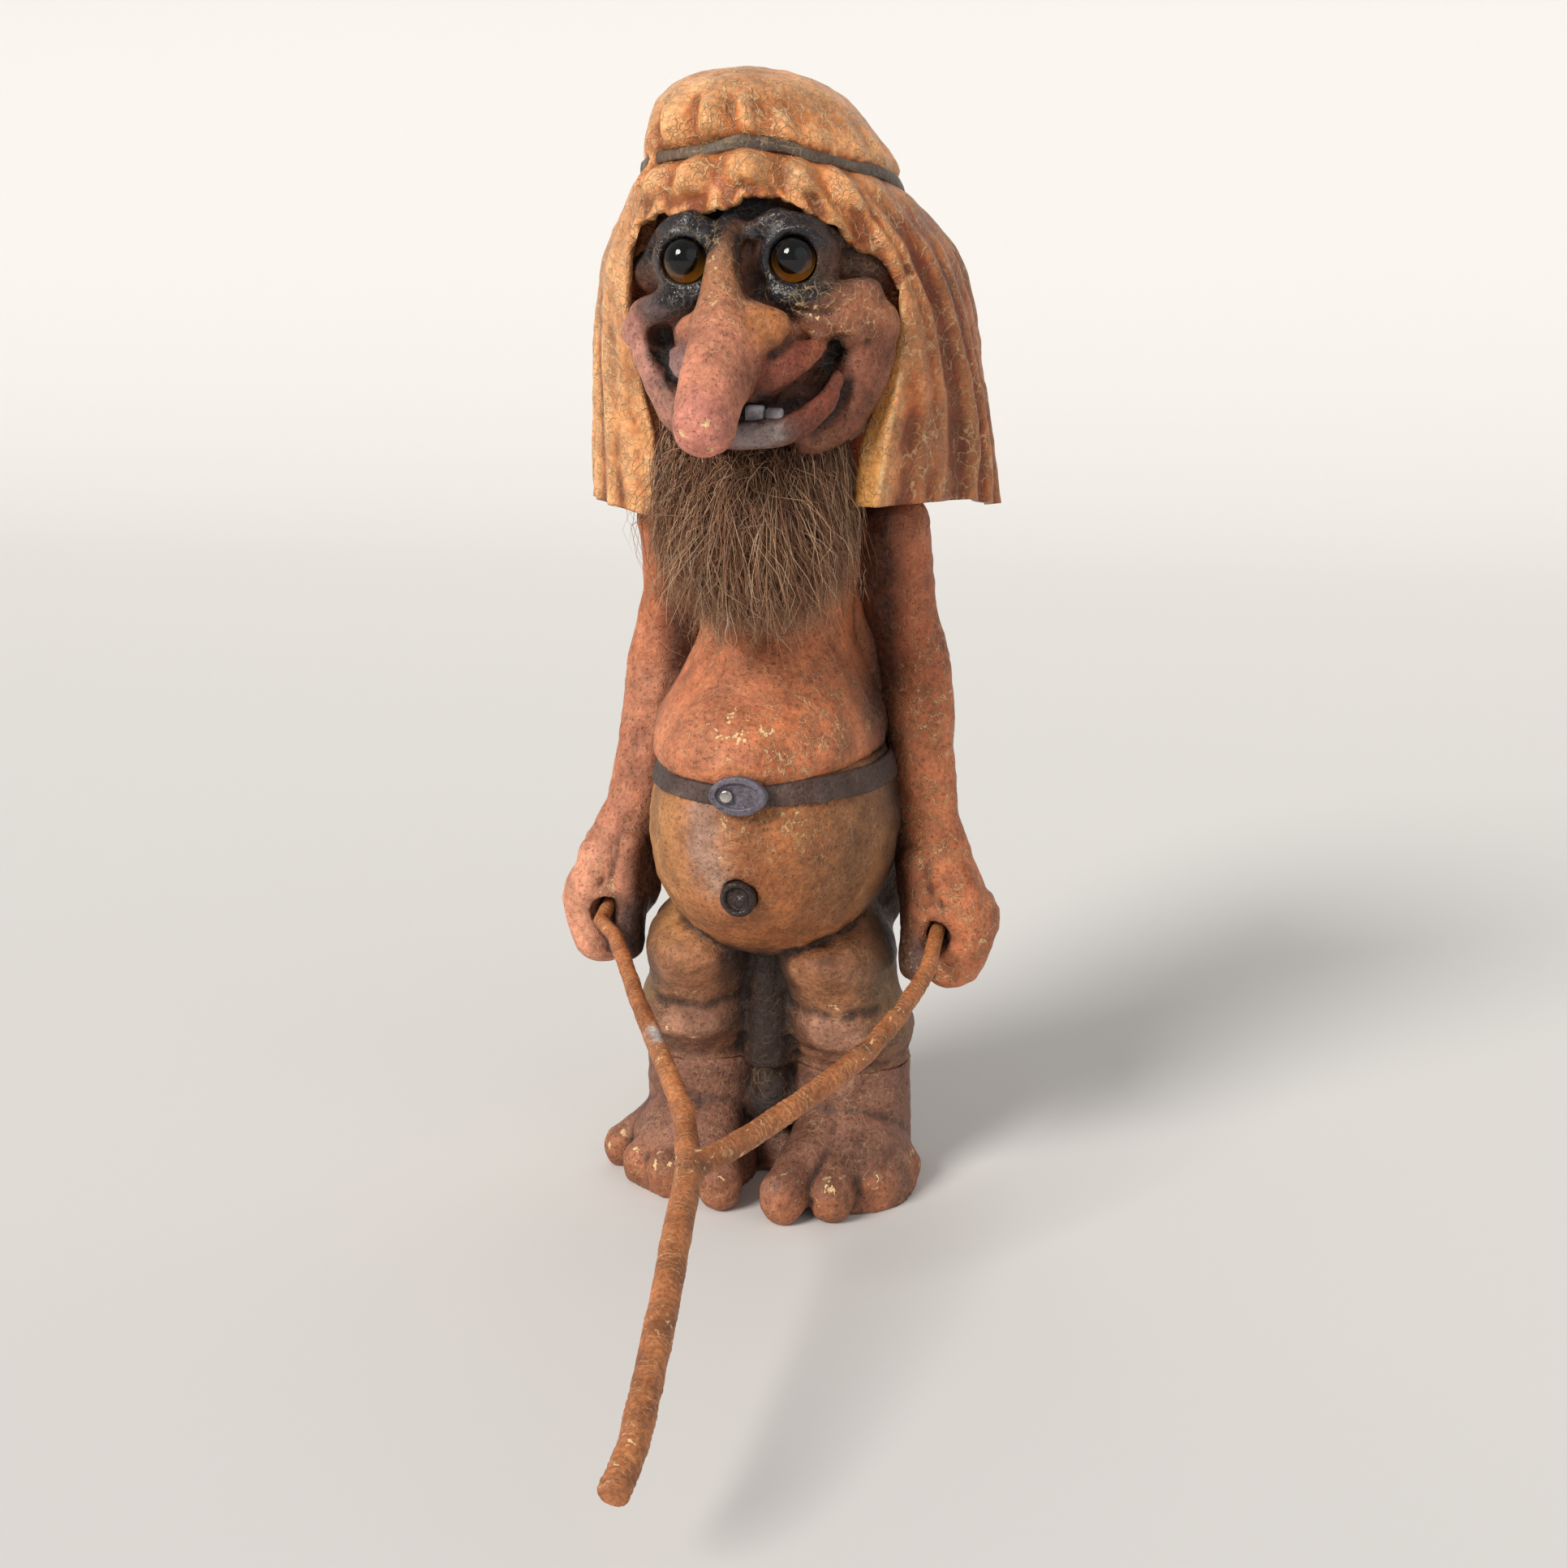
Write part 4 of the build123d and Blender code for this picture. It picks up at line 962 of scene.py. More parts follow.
# Hood sections: height, half width, half depth, centre x, centre y
HOOD_SECTIONS = [
    (172.0, 51.2, 36.4, 1.0, 4.2),
    (180.0, 50.7, 36.8, 1.0, 3.6),
    (196.0, 49.2, 38.1, 0.8, 2.2),
    (211.0, 47.4, 39.5, 0.4, 0.4),
    (226.0, 45.0, 40.8, 0.0, -2.0),
    (237.0, 41.4, 40.6, -0.6, -4.4),
    (243.6, 37.0, 39.0, -1.2, -6.4),
    (249.0, 33.2, 36.8, -1.8, -8.0),
    (254.0, 30.4, 34.8, -2.2, -8.2),
    (258.0, 29.0, 33.4, -2.8, -7.8),
    (262.0, 27.4, 32.0, -3.6, -7.6),
    (267.0, 24.8, 29.6, -4.7, -8.0),
    (271.0, 21.8, 26.8, -5.8, -8.4),
    (274.4, 16.6, 20.6, -6.4, -8.4),
    (276.4, 11.4, 14.2, -6.8, -8.4),
    (277.4, 6.6, 8.2, -7.0, -8.4),
    (277.8, 2.8, 3.4, -7.0, -8.4),
    (277.9, 0.4, 0.5, -7.0, -8.4),
]
# Edges of the hood at the face: height, x
LEFT_EDGE = [
    (172.0, -27.6), (178.0, -25.6), (185.0, -25.4), (194.0, -25.6), (203.0, -27.6), (213.0, -30.2),
    (222.0, -30.8), (236.0, -29.2),
]
RIGHT_EDGE = [
    (172.0, 27.4), (180.0, 28.8), (190.0, 30.8), (199.0, 32.6), (208.5, 34.4), (217.0, 34.8), (227.0, 33.0),
]
# Width of the cloth folded in at the right edge: height, width
RIGHT_FOLD = [
    (172.0, 5.4), (184.0, 6.6), (192.0, 7.0), (201.6, 5.8), (211.0, 4.2), (220.0, 1.4), (227.0, 0.3),
]
# Edge of the hood over the brow: x, height
BROW_EDGE = [
    (-29.2, 236.0), (-27.4, 240.4), (-22.0, 243.4), (-15.0, 242.8), (-9.0, 243.4), (-3.0, 243.8),
    (0.6, 246.0), (5.5, 246.8), (11.0, 245.4), (18.0, 241.6), (23.4, 238.0), (29.0, 233.6), (33.0, 227.0),
]
# Middle of the band: turn in degrees, height
BAND_HEIGHTS = [
    (-180, 251.6), (-120, 253.2), (-80, 255.0), (-45, 255.8), (-22, 256.6), (5, 258.2), (28, 256.6),
    (45, 254.6), (75, 252.4), (105, 251.2), (180, 251.6),
]
# Outline of the band: up from its middle as a share of half its height, how proud it stands
BAND_OUTLINE = [(-1.0, -0.9), (-1.0, 0.35), (-0.72, 0.8), (0.0, 0.95), (0.72, 0.8), (1.0, 0.35), (1.0, -0.9)]
BAND_POINTS = 240
# Gathers at the front of the band: turn in degrees, height over the band, half width, half height, lift
GATHERS = [
    (-50, 6.4, 2.4, 4.6, 1.2), (-28, 7.4, 3.8, 5.8, 4.6), (-8, 7.2, 3.3, 5.0, 4.2), (9, 7.4, 2.4, 4.6, 2.8),
    (26, 6.4, 2.8, 4.2, 1.0), (-37, -5.8, 3.0, 3.8, 2.8), (-17, -6.2, 3.4, 4.2, 4.2),
    (7, -5.6, 4.2, 3.8, 4.2), (27, -6.0, 2.8, 4.2, 2.8), (44, -6.6, 2.6, 5.0, 2.0),
]
GATHER_RADIUS = 33.0
HOOD_MIDDLE = np.array([0.0, -4.0, 215.0])
HEM_HEIGHT = 177.0
# Each side's edge, and the height of the corner where it meets the brow
FLAPS = {-1: (LEFT_EDGE, 236.0), 1: (RIGHT_EDGE, 227.0)}
FLAP_TOP = 239.0
FLAP_RADIUS = 44.0
FLAP_FLARE = 12.5
BACK_COLUMNS = 112
FRONT_COLUMNS = 84
LOW_ROWS = 58
HIGH_ROWS = 62


def smooth_table(rows, samples):
    """Evenly sampled smooth table through rows of numbers, by their first column."""
    x, *columns = np.array(rows, float).T
    at = np.linspace(x[0], x[-1], samples)
    i = np.clip(np.searchsorted(x, at) - 1, 0, len(x) - 2)
    step = x[i + 1] - x[i]
    t = (at - x[i]) / step
    out = [at]
    for y in columns:
        slope = np.gradient(y, x)
        value = (2 * t**3 - 3 * t**2 + 1) * y[i] + (t**3 - 2 * t**2 + t) * step * slope[i]
        value += (-2 * t**3 + 3 * t**2) * y[i + 1] + (t**3 - t**2) * step * slope[i + 1]
        out.append(value)
    return np.stack(out, 1)


class HoodForm:
    """Surface of the hood by turn from the front and by length up from its hem."""

    def __init__(self):
        self.table = smooth_table(HOOD_SECTIONS, 900)
        z, a, b = self.table[:, :3].T
        step = np.hypot(np.diff(z), np.diff((a + b) / 2))
        self.climb = np.concatenate([[0], np.cumsum(step)])
        rng = np.random.default_rng(11)
        self.pleats = self.bumps(rng, 32, 0.6, 0.0)
        self.above = self.bumps(rng, 18, 0.25, -0.02)
        self.below = self.bumps(rng, 18, 0.25, 0.02)

    @staticmethod
    def bumps(rng, count, wander, start):
        """Places, half widths and heights of folds round the hood, in radians."""
        gap = FULL_TURN / count
        at = start + (np.arange(count) + wander * (rng.random(count) - 0.5)) * gap - math.pi
        half = gap * (0.24 + 0.07 * rng.random(count))
        return np.stack([at, half, 0.7 + 0.3 * rng.random(count)], 1)

    @staticmethod
    def rise(bumps, turn):
        total = np.zeros_like(turn)
        for at, half, height in bumps:
            gap = (turn - at + math.pi) % FULL_TURN - math.pi
            total += height * bell(gap, half)
        return total

    @staticmethod
    def gathers(turn, over):
        """Rounded knobs of cloth above and below the front of the band, as shares of the tallest."""
        tallest = max(lift for *_, lift in GATHERS)
        total = np.zeros_like(turn)
        for at, level, half, tall, lift in GATHERS:
            aside = (turn - math.radians(at)) * GATHER_RADIUS / half
            total = np.maximum(total, lift / tallest * np.exp(-(aside**2) - ((over - level) / tall) ** 4))
        return total

    def climb_of(self, z):
        return np.interp(z, self.table[:, 0], self.climb)

    def band_climb(self, turn):
        return self.climb_of(table_at(BAND_HEIGHTS, np.degrees(turn)))

    def section(self, climb):
        z = np.interp(climb, self.climb, self.table[:, 0])
        return [z] + [np.interp(z, self.table[:, 0], column) for column in self.table.T[1:]]

    def lift(self, turn, climb):
        """Height of pleats, gathers, puckers, the pinch at the band and a tuck beside it."""
        over = climb - self.band_climb(turn)
        pleat = sizes().pleat / MM * (1 - 0.75 * bell(turn + 0.75, 0.5))
        drift = turn + 0.05 * np.sin(climb / 13 + 2 * turn)
        swell = fade(over, -5, -17) * (0.7 + 0.3 * np.sin(climb / 15 + turn * 5))
        out = pleat * self.rise(self.pleats, drift) * swell
        out += sizes().pucker / MM * self.gathers(turn, over)
        away = 1 - np.exp(-(((turn + 0.15) / 0.95) ** 4))
        lobe = ease(np.abs(over), 0.3, 3.8) * (1 - ease(np.abs(over), 5.0, 14.0))
        pucker = np.where(over > 0, self.rise(self.above, turn), self.rise(self.below, turn))
        out += 1.3 * away * pucker * lobe
        out -= 1.8 * bell(over, 2.4)
        tuck = bell(turn + 0.80, 0.045) * ease(over, -13.0, -4.0) * (1 - ease(over, 2.0, 9.0))
        return out + 3.0 * tuck

    def places(self, turn, climb):
        z, a, b, cx, cy = self.section(climb)
        out = self.lift(turn, climb)
        return np.stack([cx + (a + out) * np.sin(turn), cy - (b + out) * np.cos(turn), z], 1)

    def turn_at(self, x, z):
        _, a, _, cx, _ = self.section(self.climb_of(z))
        return np.arcsin(np.clip((x - cx) / a, -0.98, 0.98))

    def rows_above(self, turn, start):
        """Climbs of the upper rows, from the start of each column to the top of the hood."""
        for up in np.arange(HIGH_ROWS + 1) / HIGH_ROWS:
            climb = start + (self.climb[-1] - start) * up
            yield climb, self.places(turn, climb)

    def flap(self, side):
        """Rows of one half, from the middle of the back to the face, and how far each place is folded in."""
        edge, corner = FLAPS[side]
        shares = np.linspace(0, 1, BACK_COLUMNS + 1)
        hem = HEM_HEIGHT + 0.5 * np.sin(shares * 23 + side) * (1 - shares)
        if side < 0:
            hem -= 3.0 * fade(shares, 0.72, 1.0) ** 1.5
        else:
            hem += 2.4 * fade(shares, 0.62, 0.72) - 0.8
        ending = corner + (FLAP_TOP - corner) * (1 - shares) ** 0.5
        rows, folds = [], []
        for up in np.arange(LOW_ROWS + 1) / LOW_ROWS:
            z = hem + (ending - hem) * up
            turn_edge = np.abs(self.turn_at(table_at(edge, z[-1]), z[-1]))
            arc = (math.pi - turn_edge) * FLAP_RADIUS
            fold = table_at(RIGHT_FOLD, z[-1]) if side > 0 else 0.0
            run = shares * (arc + fold)
            turn = side * (math.pi - np.minimum(run, arc) / FLAP_RADIUS)
            spot = self.places(turn, self.climb_of(z))
            past = np.clip(run - arc, 0, None)
            if side > 0:
                flare = FLAP_FLARE * fade(z, 234, 190) * fade(arc - run, 30, 0) ** 1.7
                spot[:, 0] += 0.16 * flare - past * (0.94 + 0.06 * fade(past, 0, 1.2))
                spot[:, 1] += 0.25 * past - flare - bell(run - arc, 3.0)
            rows.append(spot)
            folds.append(past)
        for _, spot in list(self.rows_above(turn, self.climb_of(ending)))[1:]:
            rows.append(spot)
            folds.append(np.zeros_like(turn))
        return np.array(rows), np.array(folds)

    def brow(self):
        """Rows over the brow, between the two halves."""
        x = np.linspace(BROW_EDGE[0][0], BROW_EDGE[-1][0], FRONT_COLUMNS + 2)[1:-1]
        edge = table_at(BROW_EDGE, x) + 0.35 * np.sin(x * 0.9) + 0.2 * np.sin(x * 2.3)
        start = self.climb_of(edge)
        rows = []
        for climb, spot in self.rows_above(self.turn_at(x, edge), start):
            spot[:, 1] -= 1.2 * bell(climb - start, 3.0) * (0.6 + 0.4 * np.sin(x * 0.8))
            rows.append(spot)
        return np.array(rows)


class TROLL_OT_hood(bpy.types.Operator):
    """Stiffened cloth hood with pleats, gathers, wavy brow and folded right edge"""

    bl_idname = "troll.hood"
    bl_label = "Hood"

    def execute(self, context):
        form = HoodForm()
        hood = self.cloth(form)
        dented(hood, 0.34, 31)
        apply_modifier(hood, "SMOOTH", factor=0.3, iterations=1)
        self.paint(hood, form)
        apply_modifier(
            hood, "SOLIDIFY", thickness=sizes().cloth, offset=-1.0, use_even_offset=False,
            material_offset=1, material_offset_rim=0,
        )
        lining = tinted("hood_lining", "lining", (168, 98, 46), 140.0, 0.65, relief=0.5)
        finish_piece(hood, "figure", "hood_cloth", [hood_paint(), lining], "hood_shell")
        return {"FINISHED"}

    @staticmethod
    def cloth(form):
        """Both halves and the brow as one layer of cloth, right side out."""
        (left, left_folds), (right, right_folds), front = form.flap(-1), form.flap(1), form.brow()
        left_ids = np.arange(left_folds.size).reshape(left_folds.shape)
        right_ids = left_ids + left_ids.size
        front_ids = np.arange(front.size // 3).reshape(front.shape[:2]) + 2 * left_ids.size
        brow_ids = np.hstack([left_ids[LOW_ROWS:, -1:], front_ids, right_ids[LOW_ROWS:, -1:]])
        verts = np.concatenate([block.reshape(-1, 3) for block in (left, right, front)])
        faces = np.concatenate([quads(left_ids), quads(right_ids)[:, ::-1], quads(brow_ids)])
        hood = new_object("hood_cloth", verts, faces)
        folds = np.concatenate([left_folds.ravel(), right_folds.ravel(), np.zeros(front_ids.size)])
        keep_numbers(hood, "fold", folds)
        edit_all(hood, remove_doubles={"threshold": 0.06 * MM}, normals_make_consistent={"inside": False})
        if ((points_of(hood) - HOOD_MIDDLE) * normals_of(hood)).sum(1).mean() < 0:
            edit_all(hood, flip_normals={})
        return hood

    @staticmethod
    def paint(hood, form):
        coat = Coat(hood, "hood", 41, gloss=0.35)
        x, y, z = coat.places.T
        turn = np.arctan2(x - HOOD_MIDDLE[0], HOOD_MIDDLE[1] - y)
        # Painted shade: the right side of the hood, turned away from the light, is filled darker in streaks
        right = fade(turn, 0.5, 1.0) * fade(turn, 2.9, 2.0) * fade(z, 258, 244)
        around = np.stack([np.cos(turn) * 40, np.sin(turn) * 40, z * 0.08], 1)
        streak = 0.5 + 0.3 * grain(around, 2.4, 5) + 0.2 * grain(around, 0.9, 8)
        coat.fill(right * (0.55 + 0.4 * streak), "rust_and_shade")
        back = fade(np.abs(turn), 1.6, 2.1) * fade(z, 252, 238)
        coat.fill(back * (0.25 + 0.45 * streak) * (1 - 0.5 * right), "rust_and_shade")
        coat.fill(0.45 * fade(z, 262, 270), (196, 136, 92))
        depth = hollows(hood, 36)
        pale, sunk = fade(depth, 0, -0.4), fade(depth, 0, 0.25)
        # Painted highlight: lighter towards the lit left side and on the ridges
        coat.fill(0.3 * fade(turn, 0, -0.8) + 0.5 * pale * (1 - 0.6 * right), (250, 192, 136))
        _, half, deep, cx, cy = form.section(form.climb_of(z))
        bearing = np.arctan2((x - cx) / half, -(y - cy) / deep)
        over = form.climb_of(z) - form.band_climb(bearing)
        knob = form.gathers(bearing, over)
        zone = np.exp(-(((np.abs(over) - 6.0) / 4.5) ** 4) - ((bearing + 0.2) / 0.75) ** 4)
        # Painted shade in the valleys round the gathers, then painted highlight on their tops
        coat.fill(0.85 * zone * fade(knob, 0.45, 0), (158, 76, 36))
        coat.fill(0.45 * fade(knob, 0.45, 0.85), (248, 178, 112))
        # Painted shade in the hollows of the folds
        coat.fill(0.75 * sunk * (1 - zone), "rust_and_shade")
        fold = np.zeros(len(z))
        hood.data.attributes["fold"].data.foreach_get("value", fold)
        coat.fill(0.95 * fade(fold, 0, 0.8), (232, 166, 92))
        coat.fill(0.7 * bell(fold - 0.3, 0.35) * (fold > 0.02), (252, 214, 156))
        coat.deepen("crackle", 0.85 * (1 - 0.25 * right))
        coat.deepen("chips", 0.25 * fade(z, 238, 246) * np.clip(np.cos(turn), 0, 1))
        # Painted shade in the deepest folds
        coat.deepen("grime_and_shade", 0.4 * np.clip(sunk - 0.3, 0, 1))
        coat.finish()


class TROLL_OT_band(bpy.types.Operator):
    """Dark band tied round the hood"""

    bl_idname = "troll.hood_band"
    bl_label = "Hood band"

    def execute(self, context):
        form = HoodForm()
        turn = np.linspace(-math.pi, math.pi, BAND_POINTS, endpoint=False)
        half = sizes().band_height / MM / 2 * (1 + 0.12 * np.sin(turn * 5 + 1) + 0.07 * np.sin(turn * 13))
        level = form.band_climb(turn) + 0.35 * np.sin(turn * 6) + 0.2 * np.sin(turn * 15 + 2)
        _, middle_a, middle_b, _, _ = form.section(level)
        rings = []
        for up, proud in BAND_OUTLINE:
            z, a, b, cx, cy = form.section(level + up * half)
            swell = 0.8 * proud - 0.8 + 0.14 * np.sin(turn * 9 + up)
            x = cx + ((middle_a + a) / 2 + swell) * np.sin(turn)
            y = cy - ((middle_b + b) / 2 + swell) * np.cos(turn)
            rings.append(np.stack([x, y, z], 1))
        ids = np.arange(len(rings) * BAND_POINTS).reshape(len(rings), BAND_POINTS)
        closed = np.pad(ids, ((0, 1), (0, 1)), mode="wrap")
        band = new_object("hood_band_cord", np.concatenate(rings), quads(closed))
        edit_all(band, normals_make_consistent={"inside": False})
        coat = Coat(band, "band", 51, crackle=0.3)
        coat.masks["grime_and_shade"] += 0.22
        coat.fill(0.4 * np.clip(0.5 + grain(coat.places, 6.0, 55), 0, 1), (140, 120, 100))
        coat.finish()
        finish_piece(band, "figure", "dark_leather", [hood_paint()], "hood_band")
        return {"FINISHED"}


BEARD_LINE = [
    (-22.0, -37.0, 199.0), (-18.0, -44.0, 195.0), (-12.0, -50.0, 192.4), (-4.0, -53.6, 191.4),
    (5.0, -54.6, 191.2), (13.0, -52.0, 192.0), (19.0, -46.0, 194.6), (23.5, -38.0, 198.0),
]
BEARD_CORE = np.array([2.0, -28.0, 190.0])
BEARD_DEPTH = 16.0
BEARD_MIDDLE = 2.0
BEARD_SPREAD = 32.0
# Layers of hairs: name, seed, shares of length and radius, start down the beard, frizz, shares of tones
BEARD_LAYERS = [
    ("beard_hairs_inner", 71, 0.9, 1.15, 0.2, 0.16, (0.4, 0.6)),
    ("beard_hairs_outer", 72, 1.0, 1.0, 0.3, 0.27, (0.16, 0.54, 0.3)),
    ("beard_hairs_middle", 74, 0.8, 0.9, 0.5, 0.38, (0.14, 0.56, 0.3)),
    ("beard_hairs_frizz", 73, 0.46, 0.75, 0.8, 0.5, (0.1, 0.47, 0.38, 0.05)),
]
HAIR_TONES = [(100, 70, 54), "fur", "fur_light", (236, 226, 214)]
HAIR_STEPS = 5
HAIR_SIDES = 3


def unit(rows):
    return rows / np.maximum(np.linalg.norm(rows, axis=1), 1e-6)[:, None]


def hair_lines(rng, count, reach, start, frizz):
    """Points along each hair from the jaw line, or from part way down the beard, hanging near the chest."""
    line = np.array(BEARD_LINE)
    u = rng.random(count)
    deep = rng.random(count) ** 1.2
    spots = np.linspace(0, 1, len(line))
    root = np.stack([np.interp(u, spots, column) for column in line.T], 1)
    root += unit((BEARD_CORE - root) * (1, 1, 0)) * (deep * BEARD_DEPTH)[:, None]
    root += rng.normal(0, 0.8, (count, 3))
    side = (u - 0.5) * 2
    clump = np.stack([np.sin(u * 57 + deep * 9), np.cos(u * 43 + deep * 5), np.sin(u * 31)], 1)
    out = np.stack([side * 0.26 + 0.02, -0.34 + 0.34 * deep + 0.2 * np.abs(side), np.full(count, -0.95)], 1)
    out += 0.08 * clump
    sag = np.stack([-side * 0.22, 0.42 - 0.26 * deep, np.full(count, -0.06)], 1)
    down = (start * rng.random(count))[:, None]
    root += (out * down + sag * down**2) * sizes().hair_length / MM
    edge = np.abs(side) ** 1.5
    calm = (1 - 0.65 * edge)[:, None]
    heading = unit(out + 2 * sag * down + rng.normal(0, frizz, (count, 3)) * (1.0, 0.5, 0.6) * calm)
    long = reach * (0.45 + 0.55 * rng.random(count) ** 0.8) * (1 - 0.3 * edge)
    long *= 0.86 + 0.14 * np.sin(u * 41)
    long = long[:, None] * (1 - 0.55 * down)
    curl = rng.normal(0, 1, (count, 3)) * 0.35 * frizz * calm
    swing = rng.random(count) * FULL_TURN
    lines = []
    for t in np.arange(HAIR_STEPS + 1) / HAIR_STEPS:
        wave = (np.sin(t * 5.2 + swing) - np.sin(swing))[:, None]
        points = root + (heading * t + sag * (t * t) + curl * wave) * long
        aside = points[:, 0] - BEARD_MIDDLE
        points[:, 0] = BEARD_MIDDLE + aside * (1 + (np.abs(aside) / BEARD_SPREAD) ** 4) ** -0.25
        lines.append(points)
    return lines


def hair_faces():
    """Faces of one tapered hair, by the numbers of its points."""
    faces = []
    last = (HAIR_STEPS - 1) * HAIR_SIDES
    for k in range(HAIR_STEPS - 1):
        for corner in range(HAIR_SIDES):
            a, b = k * HAIR_SIDES + corner, k * HAIR_SIDES + (corner + 1) % HAIR_SIDES
            faces += [(a, a + HAIR_SIDES, b + HAIR_SIDES), (a, b + HAIR_SIDES, b)]
    for corner in range(HAIR_SIDES):
        faces.append((last + corner, last + HAIR_SIDES, last + (corner + 1) % HAIR_SIDES))
    return np.array(faces + [(0, 1, 2)])


def hair_mesh(name, count, seed, reach, radius, start, frizz, shares):
    """Tapered three-sided hairs, each with its own tone, dark at the root."""
    rng = np.random.default_rng(seed)
    lines = hair_lines(rng, count, reach, start, frizz)
    twist = rng.random(count) * FULL_TURN
    thick = radius * (0.7 + 0.6 * rng.random(count))
    rings = []
    for k in range(HAIR_STEPS):
        ahead = unit(lines[k + 1] - lines[max(k - 1, 0)])
        first = unit(np.cross(ahead, [0.0, 1.0, 0.0]))
        second = np.cross(ahead, first)
        size = (thick * (1 - (k / HAIR_STEPS) ** 1.6 * 0.9))[:, None]
        for corner in range(HAIR_SIDES):
            angle = (twist + corner * FULL_TURN / HAIR_SIDES)[:, None]
            rings.append(lines[k] + (first * np.cos(angle) + second * np.sin(angle)) * size)
    rings.append(lines[HAIR_STEPS])
    starts = np.arange(count)[:, None, None] * len(rings)
    faces = (hair_faces() + starts).reshape(-1, 3)
    obj = new_object(name, np.stack(rings, 1).reshape(-1, 3), faces)
    chance = rng.random(count)
    tone = np.zeros((count, 3))
    low = 0.0
    for share, paint in zip(shares, HAIR_TONES):
        tone[(chance >= low) & (chance < low + share)] = tone_of(paint)
        low += share
    tone *= (0.75 + 0.5 * rng.random(count))[:, None]
    step = np.append(np.repeat(np.arange(HAIR_STEPS) / HAIR_STEPS, HAIR_SIDES), 1.0)
    full = np.ones((count, len(rings), 4))
    full[:, :, :3] = tone[:, None, :] * (0.7 + 0.4 * step)[None, :, None]
    keep_colours(obj, "paint", full)
    return obj


class TROLL_OT_beard(bpy.types.Operator):
    """Fur beard: a dark underfur and four layers of hairs"""

    bl_idname = "troll.beard"
    bl_label = "Beard"

    def execute(self, context):
        under = cad_skin("beard_underfur", "beard_fur", 1.1 * MM, 6)
        places = points_of(under)
        low, high = (np.array(corner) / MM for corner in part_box("beard_fur"))
        middle = (low + high)[:2] / 2
        shrink = 0.78 - 0.20 * fade(places[:, 2], high[2], low[2])
        places[:, :2] = middle + (places[:, :2] - middle) * shrink[:, None]
        places[:, 2] = high[2] - (high[2] - places[:, 2]) * 0.82
        put_points(under, places)
        push_out(under, 0.7 * grain(points_of(under) * (1, 1, 0.12), 1.3, 61))
        Coat(under, (70, 45, 33), 62).finish()
        finish_piece(under, "figure", "fur", [hair_finish("underfur", 0.9)], "beard_fur")
        finish = hair_finish("fur_hairs", 0.55)
        for name, seed, reach, radius, start, frizz, shares in BEARD_LAYERS:
            reach *= sizes().hair_length / MM
            radius *= sizes().hair_radius / MM
            hairs = hair_mesh(name, sizes().hairs, seed, reach, radius, start, frizz, shares)
            finish_piece(hairs, "figure", "fur", [finish])
        return {"FINISHED"}


CHEST_GROOVES = [
    ([(-17, -38, 146), (-8, -45, 142), (2, -46, 141), (12, -44, 143)], 2.2, 0.6),
    ([(-20, -44, 132), (-6, -50, 129)], 1.4, 0.35),
]
CHEST_STROKES = [
    ([(-10, -38, 162), (0, -40, 160), (12, -36, 162)], 10, (168, 108, 82)),
    ([(-8, -46, 139), (8, -47, 139)], 6, (164, 106, 86), 0.4),
    ([(-18, -44, 124), (-6, -52, 123)], 7, (206, 132, 96), 0.7),
]
CHEST_WEAR = [
    ("chips", [(-2, -53, 131), (1, -53.5, 126), (7, -53, 126)], 4.6, 1.0),
    ("chips", [(-10, -50, 126), (14, -48, 128)], 2.4, 0.5),
]
ROLL_HEIGHT = 121.0


class TROLL_OT_chest(bpy.types.Operator):
    """Chest with the roll over the belt"""

    bl_idname = "troll.chest"
    bl_label = "Chest"

    def execute(self, context):
        chest = cad_skin("chest_skin", "chest_casting", sizes().skin_grain, 4)
        dented(chest, dent_height(), 81)
        x, y, z = points_of(chest).T
        front = fade(y, -22, -38)
        rolled_y = y - 3.4 * front * bell(z - ROLL_HEIGHT, 7.5)
        rolled_z = z - 2.4 * front * fade(z, 128, 119) * fade(np.abs(x), 40, 0)
        put_points(chest, np.stack([x, rolled_y, rolled_z], 1))
        grooves(chest, CHEST_GROOVES)
        coat = Coat(chest, "clay", 82)
        x, y, z = coat.places.T
        coat.strokes(CHEST_STROKES)
        coat.wears(CHEST_WEAR)
        coat.deepen("crackle", 0.30 + 0.6 * fade(x, -2, 12) * fade(z, 140, 132))
        # Painted shade on the flanks of the chest, between them and the arms
        coat.deepen("grime_and_shade", 0.85 * fade(np.abs(x), 17, 25) * fade(y, -32, -18))
        coat.finish(24, 0.5, 0.8)
        finish_piece(chest, "figure", "painted_skin", [skin_paint()], "chest_casting")
        return {"FINISHED"}


LEG_MIDDLE = 18.0
# Creases across the legs: height, width, depth
LEG_CREASES = [(50.5, 2.2, 1.0), (39.0, 1.8, 0.8)]
BELLY_GROOVES = [([(-3, -57.6, 82), (3, -54, 75), (6, -48, 70)], 0.7, 0.6)]
BELLY_STROKES = [([(-9, -56, 110), (-8, -57.5, 100), (-5, -58, 92)], 5.0, (176, 140, 122), 0.85)]
LEG_STROKES = [
    # Lighter knee caps: painted highlight where the knees bulge
    ([(15, -35, 62), (19, -34, 56)], 8.0, (182, 124, 86), 0.85),
    ([(31, -22, 60), (33, -18, 50)], 6.0, "olive", 0.9),
    ([(16, -31, 46), (22, -31, 43)], 5.0, (176, 128, 104), 0.8),
    ([(16, -26, 37), (22, -26, 33)], 4.0, "umber", 0.9),
]
LEG_WEAR_AND_SHADE = [
    ("chips", [(13, -34, 53.5), (22, -32, 53)], 2.6, 0.8),
    ("chips", [(14, -31, 42), (23, -30, 42)], 2.4, 0.75),
    # Painted shade down the inner side of each leg
    ("grime_and_shade", [(6, -32, 66), (6, -27, 34)], 4.5, 0.6),
]
